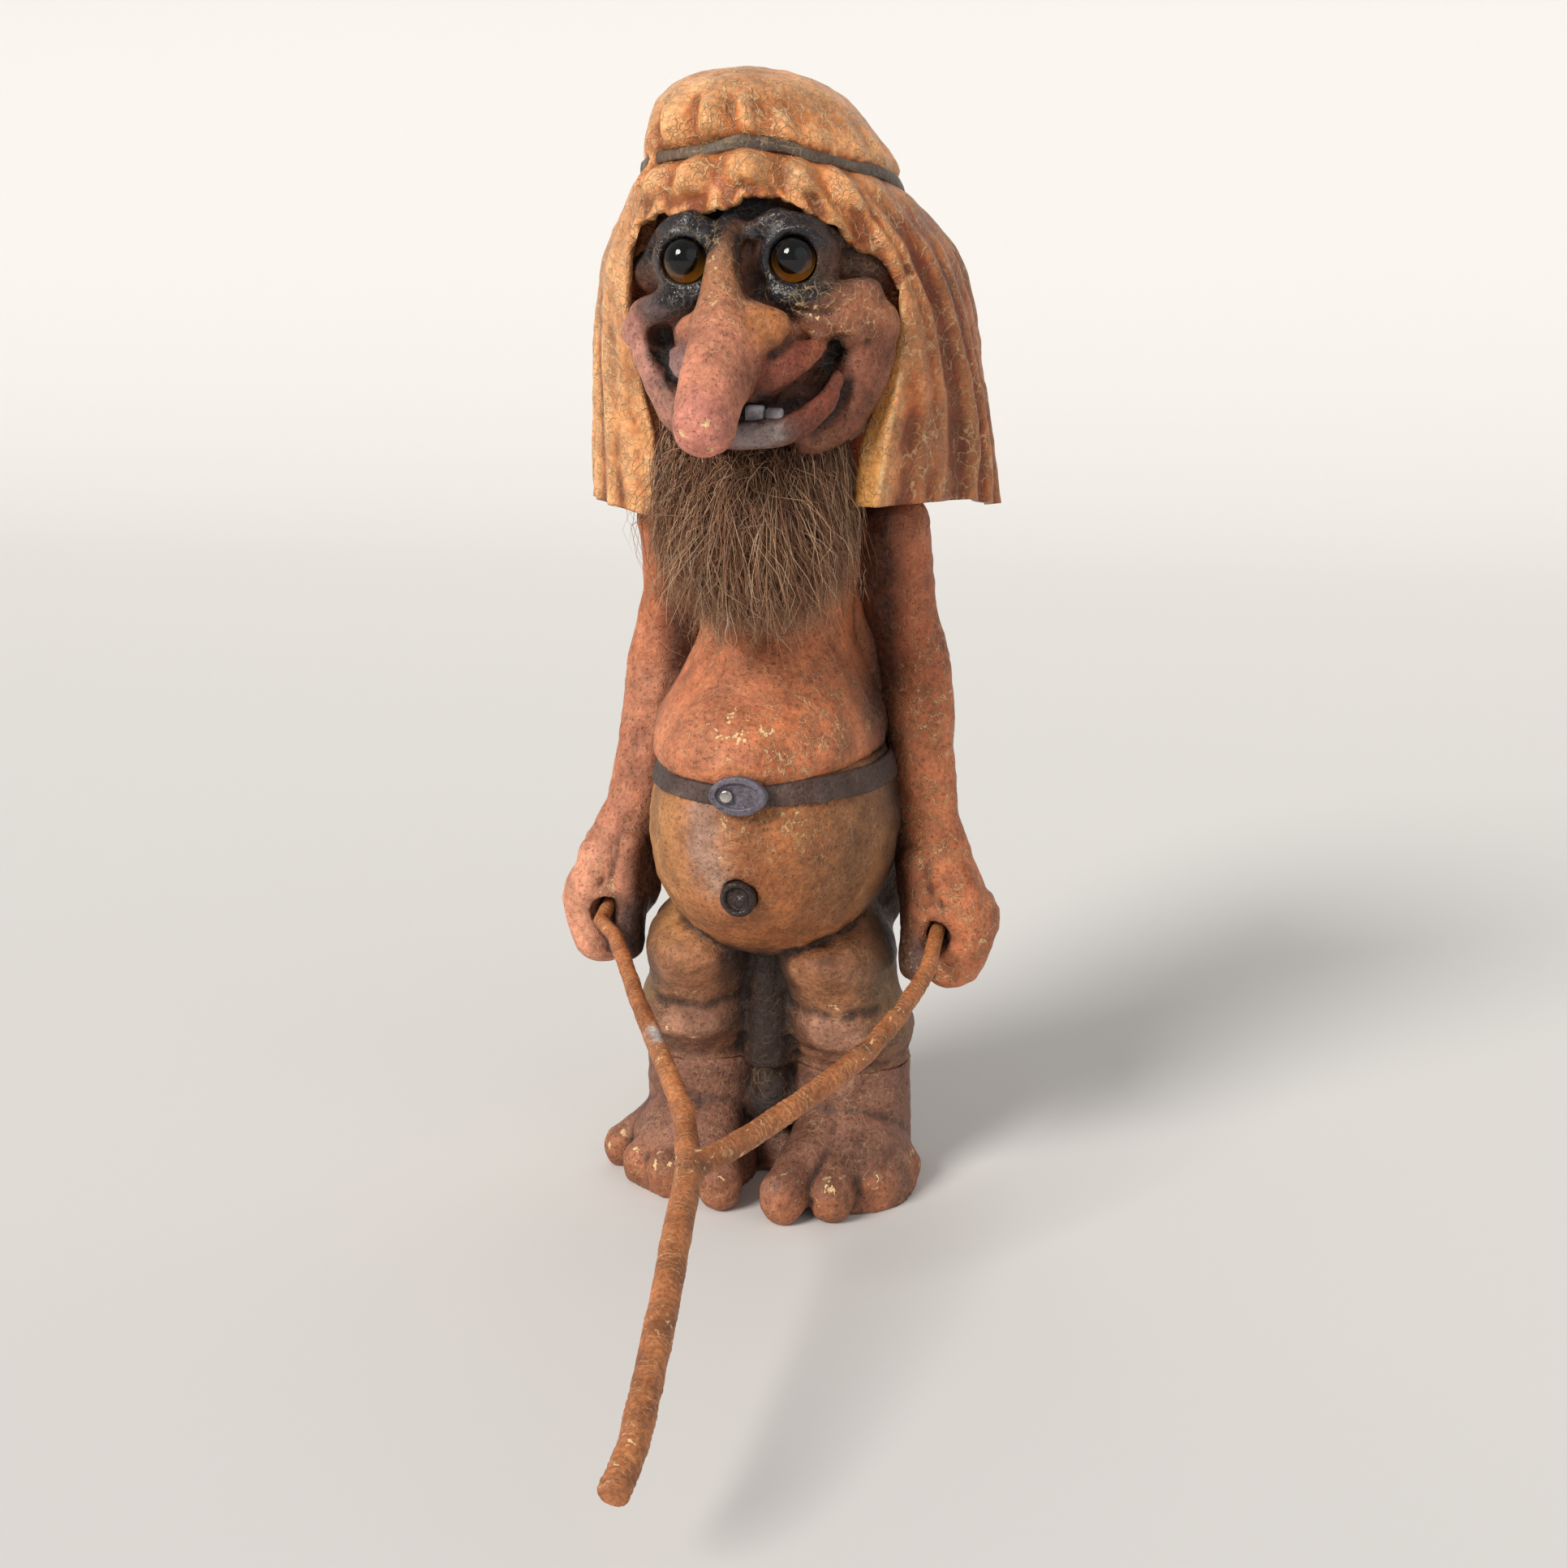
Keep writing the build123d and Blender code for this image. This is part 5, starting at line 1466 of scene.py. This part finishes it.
BELLY_WEAR_AND_SHADE = [
    # Painted shade between the legs and under the lower edge of the belly
    ("grime_and_shade", [(0, -30, 70), (0, -25, 32)], 6.0, 0.7),
    ("grime_and_shade", [(-20, -40, 70), (0, -52, 67), (20, -40, 70)], 2.6, 0.7),
    ("crackle", [(4, -57, 106), (20, -48, 104)], 6.0, 0.8),
    ("chips", [(-2, -57.6, 109), (18, -52, 107)], 2.8, 0.75),
    ("chips", [(-3, -58, 97), (-2, -58, 93)], 2.0, 0.8),
]
# Dark brown painted shade for the web between the legs and between the feet
WEB_SHADE = (66, 46, 37)


def leg_crease(obj, level, width, depth):
    """Presses a level line across the front of each leg, sagging towards its middle."""
    x, y, z = points_of(obj).T
    off = np.abs(x) - LEG_MIDDLE
    gap = z - level - 0.009 * off**2 - 0.3 * np.sin(x * 0.55)
    share = np.clip(0.35 - normals_of(obj)[:, 1], 0, 1) * fade(np.abs(off), 16, 11) * (y < -8)
    push_out(obj, -depth * share * bell(gap, width))


class TROLL_OT_lower_body(bpy.types.Operator):
    """Round belly and both legs with their knees and rolled shins"""

    bl_idname = "troll.lower_body"
    bl_label = "Belly and legs"

    def execute(self, context):
        body = cad_skin("lower_body_skin", "lower_body", sizes().skin_grain * 1.1, 4)
        places = points_of(body)
        _, y, z = places.T
        rounded = fade(y, -16, -6) * fade(z, 60, 66) * fade(z, 113, 109)
        put_points(body, places + (spread(body, 70) - places) * rounded[:, None])
        dented(body, dent_height(), 91)
        for level, width, depth in LEG_CREASES:
            leg_crease(body, level, width, depth)
        grooves(body, BELLY_GROOVES)
        coat = Coat(body, "ochre", 92, crackle=0.22)
        x, y, z = coat.places.T
        legs = fade(z, 72, 66)
        coat.fill(0.55 * fade(np.abs(x), 12, 27), "olive")
        coat.fill(0.5 * fade(x, -4, -20) * (z > 66), (196, 142, 86))
        coat.strokes(BELLY_STROKES)
        coat.fill(0.85 * legs, (122, 84, 64))
        # Painted shade on the flanks of the belly, between it and the arms
        coat.deepen("grime_and_shade", 0.85 * fade(np.abs(x), 20, 28) * fade(y, -34, -18) * (z > 62))
        for side in (-1, 1):
            coat.strokes(LEG_STROKES, side)
            coat.wears(LEG_WEAR_AND_SHADE, side)
        # Painted shade on the web between the legs
        coat.fill(fade(np.abs(x), 9.5, 5.5) * legs, WEB_SHADE)
        coat.wears(BELLY_WEAR_AND_SHADE)
        coat.finish(24, 0.5, 0.9)
        finish_piece(body, "figure", "painted_skin", [skin_paint()], "lower_body")
        return {"FINISHED"}


# Toes of each foot: x, y, radius
TOES = [
    [(-8.4, -38.0, 6.0), (-23.2, -33.4, 5.4), (-32.2, -28.4, 5.0), (-40.8, -18.6, 4.6)],
    [(9.0, -41.6, 6.0), (20.6, -38.0, 5.6), (30.2, -27.4, 5.2), (35.2, -14.0, 4.4)],
]
ANKLE = (19.8, -6.0)
FEET_WEB = [(0, -14, 20, 7.0), (0, -13, 27.6, 5.4)]
# Painted shade on the web between the feet
FEET_SHADE_STROKES = [([(0, -20, 20), (0, -18, 30)], 6.0, WEB_SHADE)]
FEET_SHADE_MASKS = [("grime_and_shade", [(0, -26, 14), (0, -12, 20)], 7.0, 0.95)]


def towards_ankle(x, y, share):
    """Place part of the way from a toe to the ankle of its foot."""
    return x + share * (math.copysign(ANKLE[0], x) - x), y + share * (ANKLE[1] - y)


def toe_grooves(foot):
    rows = []
    for (x, y, _), (next_x, next_y, _) in zip(foot[:-1], foot[1:]):
        middle = ((x + next_x) / 2, (y + next_y) / 2)
        path = [(*middle, 3.0), (*middle, 8.0), (*towards_ankle(*middle, 0.5), 17.0)]
        rows.append((path, 1.5, 1.5))
    return rows


class TROLL_OT_feet(bpy.types.Operator):
    """Both feet with four toes each"""

    bl_idname = "troll.feet"
    bl_label = "Feet"

    def execute(self, context):
        lumps = chain(FEET_WEB)
        for x, y, r in TOES[0] + TOES[1]:
            lumps += chain([(*towards_ankle(x, y, 0.42), 13.5, r - 0.6), (x, y, r + 1.4, r)])
        feet = cad_skin("feet_skin", "feet_casting", sizes().skin_grain, 3, lumps)
        for foot in TOES:
            grooves(feet, toe_grooves(foot))
        dented(feet, dent_height(), 101)
        coat = Coat(feet, "umber", 102, crackle=0.3)
        for x, y, _ in TOES[0] + TOES[1]:
            coat.brush([(x * 1.05, y - 3, 4.5)], 5.4, (176, 110, 76), 0.9)
            coat.mask("chips", [(x * 1.05, y - 3, 9.0)], 3.4, 0.75)
        # Painted shade between the feet
        coat.strokes(FEET_SHADE_STROKES)
        coat.wears(FEET_SHADE_MASKS)
        coat.finish(24, 0.5, 0.95)
        places = points_of(feet)
        places[:, 2] = np.clip(places[:, 2], 0, None)
        put_points(feet, places)
        finish_piece(feet, "figure", "painted_skin", [skin_paint()], "feet_casting")
        return {"FINISHED"}


SOCKETS = {"left": (-43.4, -18.5, 71.5), "right": (43.4, -18.5, 71.5)}
SOCKET_DEPTH = 11.4
DRAW_WAY = np.array([0.0, -0.961262, -0.275637])
BORE = 2.55
ARM_FILL = 4.0
HAND_ROLLS = [
    [(37.6, -15.2, 88, 3.6), (38.6, -16.6, 80, 3.8), (38.2, -17.4, 70, 3.8), (38.8, -17.0, 63, 3.4)],
    [(47.5, -13.6, 85, 4.6), (50, -14.6, 77, 4.6), (49.6, -15.4, 68, 4.6), (46, -16.6, 61, 4.0)],
    [(42.4, -15.4, 84, 3.8), (43.6, -16.0, 79, 3.4)],
]
HAND_CREASES = [
    ([(44, -20.5, 80), (46, -20, 76), (44.5, -21, 68), (42.5, -21.5, 60)], 1.0, 0.9),
    ([(39, -19, 92), (41.5, -19.5, 84), (43, -20, 77)], 1.0, 0.6),
    ([(51, -14, 62), (46, -18, 61), (42, -20, 60)], 0.9, 0.6),
    ([(38, -18, 66), (40.5, -20.4, 65.6)], 0.6, 0.4),
]
# Wash of each arm: strength, heights where it starts and is full, paint
ARM_WASH = {"left": (0.6, (150, 130), (196, 132, 106)), "right": (0.7, (110, 140), (176, 98, 66))}
# Crackle of each arm: all over, and more of it on the lower arm
ARM_CRACKLE = {"left": (0.25, 0.0), "right": (0.35, 0.65)}
ARM_STROKES = {
    "left": [
        ([(-50, -16, 78), (-52, -14, 66)], 12, (224, 154, 122)),
        # Darker inner side of the left hand: painted shade between hand and leg
        ([(-38, -20, 68), (-37, -20, 62)], 6, (112, 72, 64), 0.9),
    ],
    "right": [([(40, -23, 66), (40, -22, 62)], 3.6, (140, 118, 118), 0.8)],
}
ARM_WEAR = {
    "left": [("chips", [(-44, -20, 80), (-44, -19, 76)], 2.6, 1.0)],
    "right": [("chips", [(48, -15, 66), (53, -14, 72)], 5, 0.5)],
}


def open_bore(obj, mouth):
    """Keeps the twig's bore clear after the skin was softened."""
    places = points_of(obj)
    run = (places - mouth) @ DRAW_WAY
    axis = mouth + run[:, None] * DRAW_WAY
    off = places - axis
    gap = np.linalg.norm(off, axis=1)
    inside = (run > -SOCKET_DEPTH) & (gap < BORE) & (gap > 0.05)
    places[inside] = axis[inside] + off[inside] / gap[inside][:, None] * BORE
    put_points(obj, places)


class TROLL_OT_arms(bpy.types.Operator):
    """Arms with hands that hold the twig"""

    bl_idname = "troll.arms"
    bl_label = "Arms"

    def execute(self, context):
        for name, side in (("left", -1), ("right", 1)):
            lumps = chains([mirrored(roll, side) for roll in HAND_ROLLS])
            arm = cad_skin(name + "_arm_skin", name + "_arm", sizes().skin_grain * 0.9, 3, lumps)
            places = points_of(arm)
            _, y, z = places.T
            inner = np.clip(-side * normals_of(arm)[:, 0], 0, 1) * fade(y, -16, -8) * fade(z, 168, 158)
            places[:, 0] -= side * ARM_FILL * inner * fade(z, 60, 74)
            put_points(arm, places)
            dented(arm, dent_height(), 111 + side)
            grooves(arm, HAND_CREASES, side)
            open_bore(arm, SOCKETS[name])
            self.paint(arm, name, side)
            finish_piece(arm, "figure", "painted_skin", [skin_paint()], name + "_arm")
        return {"FINISHED"}

    @staticmethod
    def paint(arm, name, side):
        coat = Coat(arm, "clay", 115 + side)
        x, _, z = coat.places.T
        strength, ends, paint = ARM_WASH[name]
        coat.fill(strength * fade(z, *ends), paint)
        coat.strokes(ARM_STROKES[name])
        coat.wears(ARM_WEAR[name])
        plain, more = ARM_CRACKLE[name]
        coat.deepen("crackle", plain + more * fade(z, 150, 130))
        # Painted shade on the inner side of each arm, facing the body
        coat.deepen("grime_and_shade", 0.8 * fade(side * x - 8 * fade(z, 120, 70), 34, 28))
        coat.mask("grime_and_shade", [SOCKETS[name]], 4.2, 1.0)
        coat.finish(20, 0.45, 0.9)


RIM_BALLS = 36
RIM_RADIUS = 3.5
RIM_BALL = (0.85, 0.75, 0.85)
NAVEL_LUMP = (1.7, 1.0, 1.7)


def navel_lumps():
    """Raised rim of the navel knob and the small lump in its dish."""
    low, high = (np.array(corner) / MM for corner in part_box("navel_knob"))
    x, _, z = (low + high) / 2
    lumps = []
    for k in range(RIM_BALLS):
        turn = FULL_TURN * k / RIM_BALLS
        place = (x + RIM_RADIUS * math.cos(turn), low[1] + 0.9, z + RIM_RADIUS * math.sin(turn))
        lumps.append((place, RIM_BALL))
    return lumps + [((x + 0.8, low[1] + 1.5, z - 1.0), NAVEL_LUMP)]


class TROLL_OT_belt(bpy.types.Operator):
    """Belt strap, oval buckle, bright stud and navel knob"""

    bl_idname = "troll.belt"
    bl_label = "Belt and navel"

    def execute(self, context):
        strap = cad_skin("belt_leather", "belt_strap", 0.5 * MM, 3)
        dented(strap, 0.28, 121)
        coat = Coat(strap, "strap", 122, crackle=0.12)
        x, y, _ = coat.places.T
        coat.fill(0.7 * fade(x, 4, 16), (86, 60, 48))
        coat.fill(0.45 * np.clip(grain(coat.places, 5.0, 123), 0, 1), (124, 112, 118))
        coat.deepen("grime_and_shade", 0.2 + 0.6 * fade(y, -38, -24))
        coat.finish()
        finish_piece(strap, "figure", "dark_leather", [skin_paint()], "belt_strap")
        plate = cad_skin("buckle_oval", "buckle_plate", 0.22 * MM, 5)
        dented(plate, 0.2, 124)
        Coat(plate, (104, 100, 112), 125, crackle=0.1, gloss=0.6).finish(10, 0.25, 0.8)
        finish_piece(plate, "figure", "dark_metal", [skin_paint()], "buckle_plate")
        stud = cad_skin("buckle_bright_stud", "buckle_stud", 0.14 * MM, 8)
        light, dark = (226, 222, 216), (176, 170, 164)
        steel = tinted("bright_steel", light, dark, 300.0, 0.22, metallic=1.0, relief=0.15)
        finish_piece(stud, "figure", "bright_metal", [steel], "buckle_stud")
        knob = cad_skin("navel_boss", "navel_knob", 0.22 * MM, 4, navel_lumps())
        dented(knob, 0.16, 127)
        Coat(knob, (62, 48, 44), 128, gloss=0.75).finish(12, 0.3, 0.9)
        finish_piece(knob, "figure", "knob", [skin_paint()], "navel_knob")
        return {"FINISHED"}


TWIG_LEFT = [
    (-43.4, -8.2, 74.5), (-43.4, -18.5, 71.5), (-43.4, -24.3, 69.8), (-37.4, -30.5, 67.9),
    (-23.9, -54.5, 60.0), (-12.4, -73.0, 53.5), (-2.9, -88.5, 47.9), (4.5, -109.5, 44.5),
    (6.9, -126.2, 40.6), (10.0, -147.1, 34.6), (12.5, -166.6, 29.0), (14.0, -181.2, 24.8),
    (13.7, -191.2, 22.0),
]
TWIG_RIGHT = [
    (43.4, -8.2, 74.5), (43.4, -18.5, 71.5), (43.4, -24.3, 69.8), (43.6, -34.5, 66.7), (39.8, -51.5, 61.3),
    (33.9, -66.5, 56.3), (23.4, -82.5, 50.7), (12.4, -97.5, 45.9), (4.5, -109.5, 44.5),
]
# Runs along the right prong are counted from here, so that they differ from those on the left
RIGHT_RUN = 400.0
# Knots: centre, radius, height
KNOTS = [
    ((38.9, -54, 62.5), 1.6, 0.7), ((33, -68, 57.5), 2.0, 0.9), ((12, -98, 47), 1.8, 0.8),
    ((-12, -74, 54), 1.6, 0.5), ((5, -111, 46), 3.0, 0.7), ((11.2, -156, 34), 1.6, 0.4),
]
PALE_RING = [(-16.4, -66, 57.6), (-14.6, -69.5, 56.6)]
TWIG_STROKES = [(PALE_RING, 1.7, (206, 204, 204), 0.95)]
TWIG_WEAR = [("gloss", PALE_RING, 2.0, 1.0), ("chips", [(13.2, -180, 28), (13, -186, 26)], 2.2, 1.0)]


class TROLL_OT_twig(bpy.types.Operator):
    """Forked twig with rings, knots and scars"""

    bl_idname = "troll.twig"
    bl_label = "Forked twig"

    def execute(self, context):
        twig = cad_skin("twig_bark", "forked_twig", sizes().twig_grain, 2)
        places = points_of(twig)
        gap_left, run_left = from_path(places, TWIG_LEFT)
        gap_right, run_right = from_path(places, TWIG_RIGHT)
        along = np.where(gap_left <= gap_right, run_left, run_right + RIGHT_RUN)
        rings = np.sin(along * 3.9 + 1.2 * grain(places, 3.0, 131))
        rings *= np.clip(0.5 + grain(places, 5.0, 132), 0, 1)
        lift = 0.10 * rings + 0.16 * grain(places, 4.0, 133) + 0.08 * grain(places, 1.5, 134)
        for centre, radius, height in KNOTS:
            lift += height * bell(np.linalg.norm(places - centre, axis=1), radius)
        push_out(twig, lift * fade(places[:, 1], -26, -32))
        keep_numbers(twig, "along", along)
        coat = Coat(twig, "bark", 135, crackle=0.15)
        coat.fill(0.35 * np.clip(grain(coat.places, 12.0, 136), 0, 1), (150, 96, 58))
        for centre, radius, _ in KNOTS:
            coat.mask("grime_and_shade", [centre], radius * 1.1, 0.7)
            coat.mask("chips", [centre], radius * 1.8, 0.9)
        coat.strokes(TWIG_STROKES)
        coat.wears(TWIG_WEAR)
        coat.finish()
        finish_piece(twig, "twig", "bark", [bark_finish()], "forked_twig")
        return {"FINISHED"}


class TROLL_OT_inside(bpy.types.Operator):
    """Finishes of the dowels, pegs and the hide under the fur"""

    bl_idname = "troll.inside"
    bl_label = "Hidden fittings"

    def execute(self, context):
        wood = tinted("dowel_wood", (206, 172, 124), (176, 138, 92), 200.0, 0.6)
        hide = tinted("hide_leather", (120, 84, 60), (84, 56, 40), 160.0, 0.8)
        dress_nodes(wood, "neck_dowel", "waist_dowel", "left_leg_dowel", "right_leg_dowel")
        dress_nodes(wood, "left_shoulder_peg", "right_shoulder_peg")
        dress_nodes(hide, "beard_hide")
        return {"FINISHED"}


CAMERA_PLACE = (0.1057, -0.4579, 0.215)
CAMERA_DOWN = 13.43
CAMERA_TURN = 13.06
CAMERA_LENS = 42.4
# Lamps: name, where the light comes from, strength, softness in degrees, tone
LAMPS = [
    ("key_light", (-0.66, -1.0, 0.84), 2.6, 24.0, (1.0, 0.97, 0.93)),
    ("fill_light", (0.9, -0.8, 0.5), 0.32, 60.0, (0.94, 0.97, 1.0)),
]
SKY_TONE = (0.97, 0.97, 1.0, 1.0)
SKY_STRENGTH = 0.36
FLOOR_SIZE = (8.0, 5.0, 1.0)
WALL_HEIGHT = 4.0
SWEEP_RADIUS = 1.2


class TROLL_OT_stage(bpy.types.Operator):
    """Pale floor and backdrop, soft lights and the camera"""

    bl_idname = "troll.stage"
    bl_label = "Stage"

    def execute(self, context):
        self.floor()
        for lamp in LAMPS:
            self.light(*lamp)
        world = bpy.data.worlds.new("studio")
        context.scene.world = world
        world.use_nodes = True
        back = world.node_tree.nodes["Background"]
        back.inputs["Color"].default_value = SKY_TONE
        back.inputs["Strength"].default_value = SKY_STRENGTH
        camera = bpy.data.objects.new("camera", bpy.data.cameras.new("camera"))
        context.scene.collection.objects.link(camera)
        camera.location = CAMERA_PLACE
        camera.rotation_euler = (math.radians(90 - CAMERA_DOWN), 0.0, math.radians(CAMERA_TURN))
        camera.data.lens = CAMERA_LENS
        camera.data.sensor_width = 36.0
        camera.data.clip_start = 0.01
        context.scene.camera = camera
        context.scene.view_settings.view_transform = "Standard"
        return {"FINISHED"}

    @staticmethod
    def floor():
        """Floor that sweeps up into a wall far behind."""
        deselect()
        bpy.ops.mesh.primitive_plane_add(size=1.0, location=(0.0, 0.0, 0.0))
        floor = bpy.context.object
        floor.name = "studio_floor"
        floor.scale = FLOOR_SIZE
        bpy.ops.object.transform_apply(location=True, rotation=False, scale=True)
        bpy.ops.object.mode_set(mode="EDIT")
        bpy.ops.mesh.select_mode(type="EDGE")
        bpy.ops.mesh.select_all(action="DESELECT")
        mesh = bmesh.from_edit_mesh(floor.data)
        for edge in mesh.edges:
            edge.select_set(all(v.co.y > FLOOR_SIZE[1] / 2 - 0.1 for v in edge.verts))
        bmesh.update_edit_mesh(floor.data)
        bpy.ops.mesh.extrude_region_move(TRANSFORM_OT_translate={"value": (0.0, 0.0, WALL_HEIGHT)})
        bpy.ops.mesh.select_mode(type="VERT")
        bpy.ops.object.mode_set(mode="OBJECT")
        apply_modifier(floor, "BEVEL", width=SWEEP_RADIUS, segments=12, affect="EDGES", limit_method="ANGLE")
        pick(floor)
        bpy.ops.object.shade_smooth()
        pale = {"Base Color": (*tone_of("floor"), 1.0), "Roughness": 0.9}
        floor.data.materials.append(new_material("studio_floor", pale)[0])
        deselect()

    @staticmethod
    def light(name, source, strength, softness, tone):
        """Distant soft lamp that shines from the source towards the figure."""
        lamp = bpy.data.lights.new(name, "SUN")
        lamp.energy = strength
        lamp.angle = math.radians(softness)
        lamp.color = tone
        obj = bpy.data.objects.new(name, lamp)
        bpy.context.scene.collection.objects.link(obj)
        obj.location = source
        obj.rotation_euler = (-Vector(source)).to_track_quat("-Z", "Y").to_euler()


OPERATORS = (
    TROLL_OT_head,
    TROLL_OT_teeth,
    TROLL_OT_eyes,
    TROLL_OT_hood,
    TROLL_OT_band,
    TROLL_OT_beard,
    TROLL_OT_chest,
    TROLL_OT_lower_body,
    TROLL_OT_feet,
    TROLL_OT_arms,
    TROLL_OT_belt,
    TROLL_OT_twig,
    TROLL_OT_inside,
    TROLL_OT_stage,
)
STEPS = [entry.bl_idname.split(".")[1] for entry in OPERATORS]


class TROLL_PT_panel(bpy.types.Panel):
    """Lists the steps that dress the figure"""

    bl_idname = "TROLL_PT_panel"
    bl_label = "Troll figure"
    bl_space_type = "VIEW_3D"
    bl_region_type = "UI"
    bl_category = "Troll"

    def draw(self, context):
        for group in (context.scene.troll_sizes, context.scene.troll_colours):
            for key in group.bl_rna.properties.keys():
                if key not in ("rna_type", "name"):
                    self.layout.prop(group, key)
        for step in STEPS:
            self.layout.operator("troll." + step)


CLASSES = (TrollSizes, TrollColours, *OPERATORS, TROLL_PT_panel)


def register():
    for entry in CLASSES:
        bpy.utils.register_class(entry)
    bpy.types.Scene.troll_sizes = PointerProperty(type=TrollSizes)
    bpy.types.Scene.troll_colours = PointerProperty(type=TrollColours)


def unregister():
    del bpy.types.Scene.troll_colours
    del bpy.types.Scene.troll_sizes
    for entry in reversed(CLASSES):
        bpy.utils.unregister_class(entry)


def main():
    register()
    for step in STEPS:
        getattr(bpy.ops.troll, step)()


if __name__ == "__main__":
    main()
